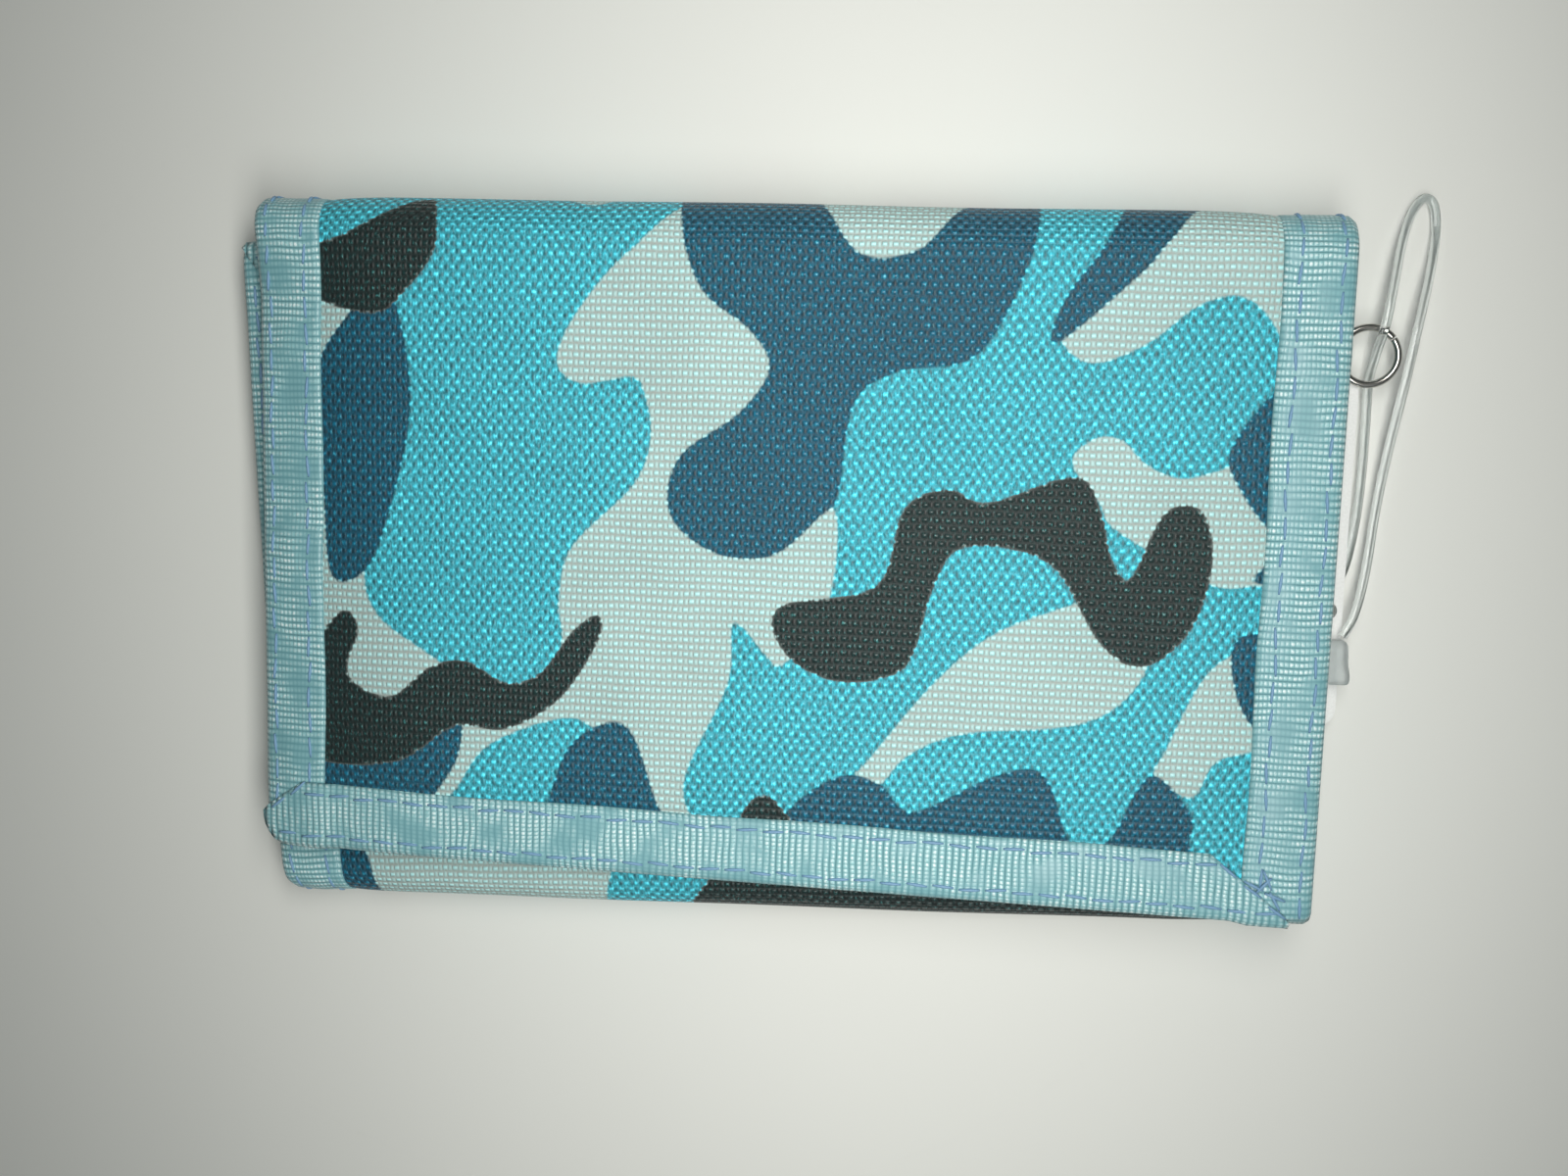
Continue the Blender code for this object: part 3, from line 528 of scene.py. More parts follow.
def printedCanvas():
    # plain-woven polyester canvas with a printed pattern: round yarns that each catch the light
    made, tree, shader = newFinish("printedCanvas")
    weave, height, (over, weft, warp) = plainWeave(tree, canvas["pitchAcross"], canvas["pitchAlong"])
    marks = addNode(tree, "ShaderNodeAttribute", attribute_name="camo").outputs["Vector"]
    ragged = addNode(tree, "ShaderNodeMath", {0: height, 1: 0.2, 2: -0.1}, operation="MULTIPLY_ADD")
    jagged = addNode(tree, "ShaderNodeVectorMath", {0: marks, 1: ragged.outputs[0]}, operation="ADD")
    parts = addNode(tree, "ShaderNodeSeparateXYZ", {0: jagged.outputs[0]})
    worn = addNode(tree, "ShaderNodeTexNoise", {"Vector": weave, "Scale": 0.09, "Detail": 3})
    mottle = addNode(tree, "ShaderNodeMapRange", {0: worn.outputs["Fac"], 1: 0.3, 2: 0.7, 3: 0.94, 4: 1.05})
    stretched = addNode(tree, "ShaderNodeVectorMath", {0: weave, 1: (3.4, 1.5, 1)}, operation="MULTIPLY")
    fibres = addNode(tree, "ShaderNodeTexNoise", {"Vector": stretched.outputs[0], "Scale": 1, "Detail": 2})
    foot, top = canvas["weftPaintedLight"]
    weftPaintedLight = addNode(tree, "ShaderNodeMapRange", {0: weft, 3: foot, 4: top})
    foot, top = canvas["warpPaintedShade"]
    warpPaintedShade = addNode(tree, "ShaderNodeMapRange", {0: warp, 3: foot, 4: top})
    # painted light on the dyed weave: a factor that paints highlight on the weft tops and shade in the pits
    tone = addNode(tree, "ShaderNodeMix", {0: over, 2: warpPaintedShade.outputs[0], 3: weftPaintedLight.outputs[0]})
    # painted sparkle: single fibres painted lighter as glints, others darker
    spark = addNode(tree, "ShaderNodeMapRange", {0: fibres.outputs["Fac"], 1: 0.3, 2: 0.7,
                                                 3: 1 - canvas["paintedSparkle"], 4: 1 + canvas["paintedSparkle"]})
    tone = addNode(tree, "ShaderNodeMath", {0: tone.outputs[0], 1: spark.outputs[0]}, operation="MULTIPLY")
    # painted glints of single fibres, added to the unprinted cloth's painted light
    glint = addNode(tree, "ShaderNodeMapRange",
                    {0: fibres.outputs["Fac"], 1: 0.3, 2: 0.7, 3: -0.12, 4: 0.12})
    lit = addNode(tree, "ShaderNodeMath", {0: height, 1: glint.outputs[0]}, operation="ADD")
    # painted highlight: glints on the shiniest fibres at the cushions' tops
    shine = addNode(tree, "ShaderNodeMapRange", {0: fibres.outputs["Fac"], 1: 0.57, 2: 0.74})
    paintedGlint = addNode(tree, "ShaderNodeMath", {0: shine.outputs[0], 1: height}, operation="MULTIPLY")
    # painted light on the unprinted cloth: highlight on the cushions' tops and glinting fibres, painted
    # shade down between the cushions
    ground = addNode(tree, "ShaderNodeMix", {0: lit.outputs[0], 6: linear(canvas["groundInShade"]),
                                             7: linear(canvas["ground"])}, data_type="RGBA")
    colour = ground.outputs[2]
    edge = camo["softEdge"]
    layers = (
        (0, edge, -edge, "turquoise"), (1, edge, -edge, "navy"),
        (2, *camo["rim"], "rim"), (2, edge, -edge, "black"),
    )
    for part, start, stop, dye in layers:
        cover = addNode(tree, "ShaderNodeMapRange", {0: parts.outputs[part], 1: start, 2: stop})
        dyed = addNode(tree, "ShaderNodeVectorMath", {0: linear(canvas[dye])[:3], 3: tone.outputs[0]},
                       operation="SCALE")
        dyed = addNode(tree, "ShaderNodeVectorMath",
                       {0: paintedGlint.outputs[0], 1: canvas["paintedGlint"], 2: dyed.outputs[0]},
                       operation="MULTIPLY_ADD")
        layer = addNode(tree, "ShaderNodeMix", {0: cover.outputs[0], 6: colour, 7: dyed.outputs[0]},
                        data_type="RGBA")
        colour = layer.outputs[2]
    shaded = addNode(tree, "ShaderNodeVectorMath", {0: colour, 3: mottle.outputs[0]}, operation="SCALE")
    tree.links.new(shaded.outputs[0], shader.inputs["Base Color"])
    gloss = addNode(tree, "ShaderNodeMapRange", {0: height, 3: 0.66, 4: 0.4})
    tree.links.new(gloss.outputs[0], shader.inputs["Roughness"])
    bump = addNode(tree, "ShaderNodeBump",
                   {"Height": height, "Distance": canvas["yarnRelief"] * mm, "Strength": 1})
    tree.links.new(bump.outputs[0], shader.inputs["Normal"])
    shader.inputs["IOR"].default_value = 1.55
    shader.inputs["Sheen Weight"].default_value = 0.12
    return made


def grosgrainTape():
    # ribbed nylon binding tape: satin ribs across it, pressed smooth here and there
    made, tree, shader = newFinish("grosgrainTape")
    weave, across, along = yarnWaves(tree, tapeFinish["yarnPitch"], tapeFinish["ribPitch"], 0.7)
    rib, yarn = sharpened(tree, along, 0.8), sharpened(tree, across, 0.7)
    dots = addNode(tree, "ShaderNodeMath", {0: yarn, 1: 0.5, 2: 0.5}, operation="MULTIPLY_ADD")
    ribbed = addNode(tree, "ShaderNodeMath", {0: rib, 1: dots.outputs[0]}, operation="MULTIPLY")
    patchy = addNode(tree, "ShaderNodeTexNoise", {"Vector": weave, "Scale": 0.17, "Detail": 3})
    pressed = addNode(tree, "ShaderNodeMapRange", {0: patchy.outputs["Fac"], 1: 0.45, 2: 0.62})
    height = addNode(tree, "ShaderNodeMix", {0: pressed.outputs[0], 2: ribbed.outputs[0], 3: 0.5})
    # painted light on the ribs: highlight on their crests, painted shade between them
    colour = addNode(tree, "ShaderNodeMix", {0: ribbed.outputs[0], 6: linear(tapeFinish["dark"]),
                                             7: linear(tapeFinish["light"])}, data_type="RGBA")
    fibres = addNode(tree, "ShaderNodeTexNoise", {"Vector": weave, "Scale": 2.2, "Detail": 2})
    glint = addNode(tree, "ShaderNodeMapRange", {0: fibres.outputs["Fac"], 1: 0.4, 2: 0.62})
    crest = addNode(tree, "ShaderNodeMapRange", {0: ribbed.outputs[0], 1: 0.62, 2: 0.95})
    raised = addNode(tree, "ShaderNodeMapRange", {0: pressed.outputs[0], 3: 1.0, 4: 0.1})
    bright = addNode(tree, "ShaderNodeMath", {0: glint.outputs[0], 1: crest.outputs[0]},
                     operation="MULTIPLY")
    bright = addNode(tree, "ShaderNodeMath", {0: bright.outputs[0], 1: raised.outputs[0]},
                     operation="MULTIPLY")
    colour = addNode(tree, "ShaderNodeMix", {0: bright.outputs[0], 6: colour.outputs[2],
                                             7: linear(tapeFinish["glint"])}, data_type="RGBA")
    flat = addNode(tree, "ShaderNodeMath", {0: pressed.outputs[0], 1: 0.6}, operation="MULTIPLY")
    dull = addNode(tree, "ShaderNodeMix", {0: flat.outputs[0], 6: colour.outputs[2],
                                           7: linear(tapeFinish["smooth"])}, data_type="RGBA")
    tree.links.new(dull.outputs[2], shader.inputs["Base Color"])
    gloss = addNode(tree, "ShaderNodeMapRange", {0: ribbed.outputs[0], 3: 0.5, 4: 0.3})
    tree.links.new(gloss.outputs[0], shader.inputs["Roughness"])
    bump = addNode(tree, "ShaderNodeBump",
                   {"Height": height.outputs[0], "Distance": tapeFinish["relief"] * mm, "Strength": 1})
    tree.links.new(bump.outputs[0], shader.inputs["Normal"])
    shader.inputs["IOR"].default_value = 1.53
    shader.inputs["Sheen Weight"].default_value = 0.1
    return made


def wovenCloth(name, colour, pitch, roughness, relief):
    # plain dyed cloth in a fine weave: dull, with a faint grid of yarns, their crests painted lighter and
    # painted shade between them
    made, tree, shader = newFinish(name)
    height = plainWeave(tree, pitch, pitch, 0.3)[1]
    # painted shade between the yarns and painted highlight on their crests
    shade = addNode(tree, "ShaderNodeMapRange", {0: height, 3: 0.7, 4: 1.15})
    shaded = addNode(tree, "ShaderNodeVectorMath", {0: linear(colour)[:3], 3: shade.outputs[0]},
                     operation="SCALE")
    tree.links.new(shaded.outputs[0], shader.inputs["Base Color"])
    bump = addNode(tree, "ShaderNodeBump", {"Height": height, "Distance": relief * mm, "Strength": 1})
    tree.links.new(bump.outputs[0], shader.inputs["Normal"])
    shader.inputs["Roughness"].default_value = roughness
    shader.inputs["IOR"].default_value = 1.5
    shader.inputs["Sheen Weight"].default_value = 0.2
    return made


def mottled(name, colour, roughness, grain, relief, ior=1.5, metallic=0.0, transmission=0.0):
    # one colour with a fine grain in its tone and its surface
    made, tree, shader = newFinish(name)
    place = addNode(tree, "ShaderNodeTexCoord").outputs["Object"]
    noise = addNode(tree, "ShaderNodeTexNoise", {"Vector": place, "Scale": 1 / (grain * mm), "Detail": 3})
    tone = addNode(tree, "ShaderNodeMapRange", {0: noise.outputs["Fac"], 3: 0.88, 4: 1.1})
    shaded = addNode(tree, "ShaderNodeVectorMath", {0: linear(colour)[:3], 3: tone.outputs[0]},
                     operation="SCALE")
    tree.links.new(shaded.outputs[0], shader.inputs["Base Color"])
    gloss = addNode(tree, "ShaderNodeMapRange",
                    {0: noise.outputs["Fac"], 3: roughness * 0.8, 4: roughness * 1.2})
    tree.links.new(gloss.outputs[0], shader.inputs["Roughness"])
    bump = addNode(tree, "ShaderNodeBump",
                   {"Height": noise.outputs["Fac"], "Distance": relief * mm, "Strength": 1})
    tree.links.new(bump.outputs[0], shader.inputs["Normal"])
    shader.inputs["Metallic"].default_value = metallic
    shader.inputs["Transmission Weight"].default_value = transmission
    if not metallic:
        shader.inputs["IOR"].default_value = ior
    return made


canvasFinish = printedCanvas()
tapeCloth = grosgrainTape()
# nylon taffeta with a soft sheen, its weave drawn coarser than real so that it shows
liningCloth = wovenCloth("navyTaffeta", "1c2c4a", 0.42, 0.55, 0.03)
# heavier basket-like polyester, duller than the lining
pocketCloth = wovenCloth("blueOxford", "2a5a80", 0.6, 0.7, 0.08)
# close-woven polyester with no shine
zipCloth = wovenCloth("zipTape", "2c5c7c", 0.5, 0.75, 0.05)
# spun polyester: a soft gloss broken up by the twist
thread = mottled("polyesterThread", "7aa3c6", 0.5, 0.3, 0.03)
darkThread = mottled("darkThread", "2b4766", 0.5, 0.3, 0.03)
# drawn nylon, smooth and a little glossy
coil = mottled("nylonCoil", "3a6a86", 0.35, 0.4, 0.01)
# bright nickel plate over pressed metal: a clear reflection with hardly any grain
nickel = mottled("nickelPlate", "c9c6c0", 0.2, 0.5, 0.003, metallic=1.0)
# uncoated card, matt and even
card = mottled("whiteCard", "eef0ef", 0.5, 0.25, 0.006)
# moulded polypropylene: the drawn strand is clear, and the thicker lock is cloudy
clearPlastic = mottled("clearPolypropylene", "f2f7f7", 0.16, 0.8, 0.01, ior=1.49, transmission=1.0)
cloudyPlastic = mottled("cloudyPolypropylene", "eef4f4", 0.32, 0.8, 0.02, ior=1.49, transmission=0.75)
# soft vinyl film: clear, glossy and slightly wavy
vinyl = mottled("clearVinyl", "f4fafa", 0.12, 9.0, 0.12, ior=1.5, transmission=1.0)
# the closure: stiff moulded hooks with a slight gloss, and a matt brushed pile
hookNylon = mottled("hookNylon", "26384a", 0.5, 0.5, 0.05)
loopPile = mottled("loopPile", "223348", 0.9, 0.45, 0.35)
print("finishes made")

# swing tag, its clear loop and lock, and the key ring

tagLoop = {
    "strand": 1.1,
    "route": [  # mm, out of the lock, through the tag and the ring, and back into the lock
        (66.5, -5.9, 4.8), (66.7, -4.2, 4.3), (66.9, -3.0, 3.0), (67.4, -1.2, 1.9), (68.9, 2.5, 1.6),
        (69.7, 8.0, 1.7), (70.0, 14.0, 1.8), (70.0, 20.0, 1.9), (69.9, 24.8, 2.2), (70.1, 28.1, 3.8),
        (70.6, 31.6, 5.3), (71.4, 36.5, 4.6), (72.4, 41.5, 2.9), (73.6, 45.0, 1.5), (75.0, 46.8, 0.9),
        (76.3, 46.1, 0.8), (76.7, 42.8, 1.1), (75.8, 37.5, 3.0), (74.4, 31.5, 5.0), (73.4, 25.0, 5.2),
        (72.5, 17.5, 3.8), (71.7, 10.0, 3.0), (70.9, 2.0, 3.4), (69.7, -3.0, 4.6), (68.4, -5.9, 4.9),
    ],
}


def openCurve(route, steps):
    # points on a Catmull-Rom curve through a route, from end to end
    points = [Vector(point) for point in route]
    padded = [2 * points[0] - points[1]] + points + [2 * points[-1] - points[-2]]
    found = []
    for a, b, c, d in zip(padded, padded[1:], padded[2:], padded[3:]):
        for step in range(steps):
            t = step / steps
            found.append(0.5 * (2 * b + (c - a) * t + (2 * a - 5 * b + 4 * c - d) * t**2
                                + (3 * b - a - 3 * c + d) * t**3))
    return found + [points[-1]]


def makeTagLoop():
    points = openCurve(tagLoop["route"], 6)
    curve = bpy.data.curves.new("tagLoop", "CURVE")
    curve.dimensions = "3D"
    curve.bevel_depth = tagLoop["strand"] / 2 * mm
    curve.bevel_resolution = 4
    curve.use_fill_caps = True
    spline = curve.splines.new("POLY")
    spline.points.add(len(points) - 1)
    for point, place in zip(spline.points, points):
        point.co = (*(place * mm), 1)
    spline.use_smooth = True
    curve.materials.append(clearPlastic)
    loop = linkIn(bpy.data.objects.new("tagLoop", curve))
    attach(loop, "back")
    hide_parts("tag_loop")
    length = sum((b - a).length for a, b in zip(points, points[1:]))
    return loop, length


tagCard = {
    "corner": 2.2,
    "hole": 1.05,          # radius
    "holePlace": (66.9, -3.0),
}


def makeTagCard():
    low, high = boxOf("hang_tag")
    middle, size = (low + high) / 2, high - low
    shape = bmesh.new()
    bmesh.ops.create_grid(shape, x_segments=1, y_segments=1, size=0.5)
    bmesh.ops.scale(shape, vec=(size.x, size.y, 1), verts=shape.verts)
    bmesh.ops.bevel(shape, geom=list(shape.verts), offset=tagCard["corner"], segments=6, profile=0.5,
                    affect="VERTICES", material=-1)
    bmesh.ops.translate(shape, vec=middle, verts=shape.verts)
    hole = bmesh.ops.create_circle(shape, segments=24, radius=tagCard["hole"],
                                   matrix=Matrix.Translation((*tagCard["holePlace"], middle.z)))
    rim = list({edge for vert in hole["verts"] for edge in vert.link_edges})
    outline = [edge for edge in shape.edges if edge not in rim]
    bmesh.ops.delete(shape, geom=list(shape.faces), context="FACES_ONLY")
    bmesh.ops.triangle_fill(shape, use_beauty=True, edges=outline + rim)
    bmesh.ops.recalc_face_normals(shape, faces=shape.faces)
    tag = foldedPiece("tagCard", shape, card, folded=False)
    wall = tag.modifiers.new("thickness", "SOLIDIFY")
    wall.thickness = size.z * mm
    wall.offset = 0
    tag.data.shade_flat()
    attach(tag, "back")
    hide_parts("hang_tag")
    return tag


tagLock = {
    "neck": 0.72,          # its width at the strands, as a share of the body's
    "waist": 0.18,         # how much narrower it is at its waist
    "waistPlace": 0.55,    # share of its length
    "waistRun": 0.12,
}


def makeTagLock():
    # a moulded socket: a rounded body, narrower towards the two strands
    low, high = boxOf("tag_lock")
    middle, size = (low + high) / 2, high - low
    shape = bmesh.new()
    bmesh.ops.create_cube(shape, size=1)
    bmesh.ops.scale(shape, vec=size, verts=shape.verts)
    bmesh.ops.subdivide_edges(shape, edges=shape.edges, cuts=3, use_grid_fill=True)
    for vert in shape.verts:
        along = vert.co.y / size.y + 0.5
        pinch = 1 - (1 - tagLock["neck"]) * along**2
        fromWaist = (along - tagLock["waistPlace"]) / tagLock["waistRun"]
        waist = 1 - tagLock["waist"] * math.exp(-fromWaist**2)
        vert.co.x *= pinch * waist
        vert.co.z *= pinch
    bmesh.ops.translate(shape, vec=middle, verts=shape.verts)
    lock = foldedPiece("tagLock", shape, cloudyPlastic, folded=False)
    soft = lock.modifiers.new("moulded", "SUBSURF")
    soft.levels = 2
    soft.render_levels = 2
    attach(lock, "back")
    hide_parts("tag_lock")
    return lock


keyRing = {
    "radius": 3.4,
    "wire": 0.45,          # radius
    "cut": 3.0,            # degrees
    "cutFrom": 40,         # degrees round from the far side
}


def makeKeyRing():
    # a ring bent from wire, with a narrow cut on the side away from its tab
    low, high = boxOf("key_ring")
    middle = (low + high) / 2
    shape = bmesh.new()
    start = math.radians(keyRing["cutFrom"])
    end = bmesh.ops.create_circle(shape, cap_ends=True, segments=16, radius=keyRing["wire"])
    bmesh.ops.rotate(shape, cent=(0, 0, 0), matrix=Matrix.Rotation(math.pi / 2, 3, "X"),
                     verts=end["verts"])
    bmesh.ops.translate(shape, vec=(keyRing["radius"], 0, 0), verts=end["verts"])
    bmesh.ops.rotate(shape, cent=(0, 0, 0), matrix=Matrix.Rotation(start, 3, "Z"), verts=end["verts"])
    bmesh.ops.spin(shape, geom=shape.verts[:] + shape.edges[:] + shape.faces[:], cent=(0, 0, 0),
                   axis=(0, 0, 1), steps=96, angle=math.radians(360 - keyRing["cut"]))
    bmesh.ops.remove_doubles(shape, verts=shape.verts, dist=0.001)
    bmesh.ops.recalc_face_normals(shape, faces=shape.faces)
    bmesh.ops.translate(shape, vec=middle, verts=shape.verts)
    ring = foldedPiece("keyRing", shape, nickel, folded=False)
    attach(ring, "key_ring")
    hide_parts("key_ring")
    return ring


loop, loopLength = makeTagLoop()
tag = makeTagCard()
lock = makeTagLock()
makeKeyRing()
print(f"swing tag and key ring made, loop {loopLength:.1f} mm")

# canvas, lining and bindings

panel = {
    "step": 0.8,          # mm between grid rows
    "underTape": 0.46,    # height of the cloth's outer face below the tape's
    "crown": 0.7,         # how far it puffs up again in the middle of a leaf
    "edge": 1.6,          # from a leaf's edge to the cloth's
    "thickness": 0.5,
    "lining": 1.95,       # height of the lining's inner face
}


hang = {
    "most": 2.4,          # how much lower the flap's left edge hangs
    "from": 42,           # it starts this far left of the middle
    "run": 23,
    "rise": 12,           # and reaches its full amount this far from the top fold
}


def drop(x, s):
    # the flap's left side hangs a little lower than its right
    reach = np.clip((-x - hang["from"]) / hang["run"], 0, 1)
    onFlap = np.clip((s - flapStart) / hang["rise"], 0, 1)
    return hang["most"] * reach**2 * onFlap


def clothHeight(x, s, end):
    half = wallet["half"] - wallet["tape"]
    side = np.clip((half - np.abs(x)) / 9, 0, 1)
    last = np.clip(np.abs(end - s) / 9 - 0.9, 0, 1)
    puff = np.sqrt(side * (2 - side)) * np.sqrt(last * (2 - last))
    ripple = 0.07 * np.sin(x / 7 + s / 11) + 0.05 * np.sin(x / 13 - s / 6 + 2)
    return panel["underTape"] - panel["crown"] * puff * (0.85 + ripple) + ripple * puff * 1.4 + drop(x, s)


def liningHeight(x, s, end):
    return panel["lining"] + 0.08 * np.sin(x / 9 + 1) * np.sin(s / 8) + drop(x, s)


def makePanel(name, replaced, low, high, end, outer, bend, leaf):
    # one leaf's cloth or lining between two lines of the strip
    half = wallet["half"] - panel["edge"]

    def lay(a, b):
        x = (a * 2 - 1) * half
        s = low(x) + (high(x) - low(x)) * b
        return x, s, (clothHeight if outer else liningHeight)(x, s, end(x))

    steps = (round(2 * half / panel["step"]), round(abs(high(0) - low(0)) / panel["step"]))
    if outer:
        piece = gridSheet(name, canvasFinish, steps, lay, True, panel["thickness"],
                          camo=True)
    else:
        steps = (steps[0] // 3, steps[1] // 2)
        piece = gridSheet(name, liningCloth, steps, lay, False, panel["thickness"] / 2)
    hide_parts(*replaced)
    bend(piece, leaf)
    return piece


def level(value):
    return lambda x: value + 0 * x


far = level(1000)   # no free end near


def leafSpans(inset):
    # each stretch of the strip: its name, its two ends, the free end near it, the bend beside it,
    # its body and the CAD nodes it stands for. Free ends stop short by the inset.
    return (
        ("flap", level(midTop), lambda x: flapEnd(x) - inset, flapEnd, bendTop, "flap",
         ("flap", "top_spine")),
        ("backUpper", level(0), level(midTop), far, bendTop, "back", ("back",)),
        ("backLower", midBottom, level(0), far, bendBottom, "back", ()),
        ("inner", lambda x: innerEnd(x) + inset, midBottom, innerEnd, bendBottom, "inner",
         ("inner", "bottom_spine")),
    )


for leaf, low, high, end, bend, body, nodes in leafSpans(panel["edge"]):
    for outer, word in ((True, "Cloth"), (False, "Lining")):
        stood = [f"{node}_{'shell' if outer else 'lining'}" for node in nodes]
        makePanel(leaf + word, stood, low, high, end, outer, bend, body)
print("canvas and lining made")

tape = {
    "step": 1.0,
    "thickness": 0.4,
    "profileSteps": 22,
    "outerRow": 1.8,        # stitch rows, in from the leaf's edge
    "innerRow": 6.5,
    "endRow": 7.1,          # the inner row along a free end
    "stitchPitch": 3.2,
    "stitchLength": 3.1,
    "stitchWidth": 0.42,
    "stitchDip": 0.13,      # how far the stitches pull the tape down
    "lap": 0.45,            # how far the end tape stands over the side tapes
    "corner": 4.2,          # radius of the flap's worn left corner
    "blunt": 1.2,           # and of the other corners
    "short": 0.4,           # from a side tape's end to its leaf's
    "closeRun": 1.6,        # stretch at its end in which a side tape is pressed shut
    "close": 0.8,           # share of its depth
    "lapFrom": 55.2,        # where the end tape begins to climb on to the side tapes, and is up
    "lapTo": 57.4,
}


def aroundEdge(a):
    # a tape folded round an edge, for the share a of its width: in from the edge, and height
    r = wallet["round"]
    flat = wallet["tape"] - r
    run = a * (2 * flat + math.pi * r)
    turn = np.clip((run - flat) / r, 0, math.pi)
    inward = np.where(run < flat, wallet["tape"] - run, r - r * np.sin(turn))
    inward = np.where(run > flat + math.pi * r, run - flat - math.pi * r + r, inward)
    return inward, r - r * np.cos(turn), run


def tapeWave(inward, along, left):
    # the tape's own waviness: pulled down at its stitches, loose at its free edge
    rows = sum(np.exp(-((inward - tape[row]) / 0.5) ** 2) for row in ("outerRow", "innerRow"))
    between = 0.75 + 0.25 * np.cos(along * 2 * math.pi / tape["stitchPitch"])
    loose = np.clip((inward - tape["innerRow"]) / 2, 0, 1)
    buckle = np.sin(along / 2.9 + 1.1) * np.sin(along / 7.3) * (0.16 if left else 0.09)
    middle = np.exp(-((inward - 4.1) / 1.5) ** 2)
    return tape["stitchDip"] * rows * between + 0.16 * loose + buckle * (0.4 + middle)


def cornerCut(inward, radius):
    # how far a rounded corner falls back, this far in from the edge beside it
    reach = np.clip(radius - inward, 0, radius)
    return radius - np.sqrt(radius**2 - reach**2)


def makeSideTape(leaf, side, low, high, bend, body, nodes):
    name = f"{leaf}Binding{'Left' if side < 0 else 'Right'}"

    def lay(a, b):
        inward, height, run = aroundEdge(a)
        edge = side * wallet["half"]
        ends = [line(edge) for line in (low, high)]
        fallen = cornerCut(inward, tape["corner" if leaf == "flap" and side < 0 else "blunt"])
        if leaf == "flap":
            ends[1] = ends[1] - fallen
        if leaf == "inner":
            ends[0] = ends[0] + fallen
        s = ends[0] + (ends[1] - ends[0]) * b
        toEnd = {"flap": ends[1] - s, "inner": s - ends[0]}.get(leaf, 9 + 0 * s)
        squash = tape["close"] * np.clip(1 - toEnd / tape["closeRun"], 0, 1) ** 2
        height = height + (wallet["round"] - height) * squash
        wobble = 0.12 * np.sin(s / 4.3 + side) * np.clip(inward / 8, 0, 1)
        x = side * (wallet["half"] - inward - wobble)
        outside = np.where(height < wallet["round"], 1, -1)
        return x, s, height + outside * tapeWave(inward, s, side < 0) * (1 - squash) + drop(x, s)

    def weave(a, b, flat):
        return aroundEdge(a)[2], flat[:, 1]

    count = round(abs(high(0) - low(0)) / tape["step"])
    piece = gridSheet(name, tapeCloth, (tape["profileSteps"], count), lay,
                      side > 0, tape["thickness"], weave)
    word = "left" if side < 0 else "right"
    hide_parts(*[f"{node}_binding_{word}" for node in nodes])
    bend(piece, body)
    return piece


def addStitch(shape, x, s, h, angle):
    size = Matrix.Diagonal((tape["stitchLength"] / 2, tape["stitchWidth"] / 2, 0.2, 1))
    place = Matrix.Translation((x, s, h)) @ Matrix.Rotation(angle, 4, "Z") @ size
    bmesh.ops.create_uvsphere(shape, u_segments=6, v_segments=5, radius=1, matrix=place)


def stitchLine(shape, start, end, heights, away=0.0):
    # a row of stitches between two places of the flat strip, on each face named in heights
    start, end = Vector(start), Vector(end)
    run = end - start
    count = max(1, round(run.length / tape["stitchPitch"]))
    angle = math.atan2(run.y, run.x)
    for i in range(count):
        place = start + run * ((i + 0.5 + away) / count)
        wander = 0.12 * math.sin(i * 2.4 + start.x)
        for height in heights:
            h = height(place) if callable(height) else height
            addStitch(shape, place.x + wander * math.sin(angle), place.y + wander * math.cos(angle), h,
                      angle + 0.1 * math.sin(i * 5.1))


def dropAt(place):
    return float(drop(place.x, place.y))


def outerFace(place):
    return 0.02 + dropAt(place)


def innerFace(place):
    return wallet["stack"] - 0.02 + dropAt(place)


def makeSideStitches(leaf, low, high, bend, body):
    shape = bmesh.new()
    for side in (-1, 1):
        for row in (tape["outerRow"], tape["innerRow"]):
            x = side * (wallet["half"] - row)
            stitchLine(shape, (x, float(low(x))), (x, float(high(x))), (outerFace, innerFace))
    stitches = foldedPiece(f"{leaf}Stitches", shape, thread)
    bend(stitches, body)


for leaf, low, high, end, bend, body, nodes in leafSpans(tape["short"]):
    for side in (-1, 1):
        makeSideTape(leaf, side, low, high, bend, body, nodes)
    seamStart = (lambda x: innerEnd(x) + 5) if leaf == "inner" else low
    seamStop = (lambda x: flapEnd(x) - (5 if x < 0 else 1)) if leaf == "flap" else high
    makeSideStitches(leaf, seamStart, seamStop, bend, body)
print("side bindings made")

# Each end's cut: x at the tape's inner edge, x at its outer edge, and how far in from the outer
# edge the cut is straight. The seams run from one x to another.
endTape = {
    "flap": {"left": (-59.6, -65.1, 4.6), "right": (52.6, 62.6, 0.6)},
    "inner": {"left": (-58.5, -64.6, 0.8), "right": (58.5, 64.6, 0.8)},
    "seams": {"outerRow": (-63.0, 61.0), "endRow": (-59.4, 53.8)},
}
# Back-stitching along the slanted cuts, with a small tangle at the right corner: x and the
# distance in from the flap's end, for both ends of each run.
backStitches = (
    ((-64.2, 4.4), (-58.6, 8.9)), ((53.4, 7.6), (62.0, 1.0)), ((56.5, 5.6), (61.5, 3.4)),
    ((57.5, 3.6), (60.5, 7.0)), ((58.6, 7.2), (61.0, 2.0)),
)


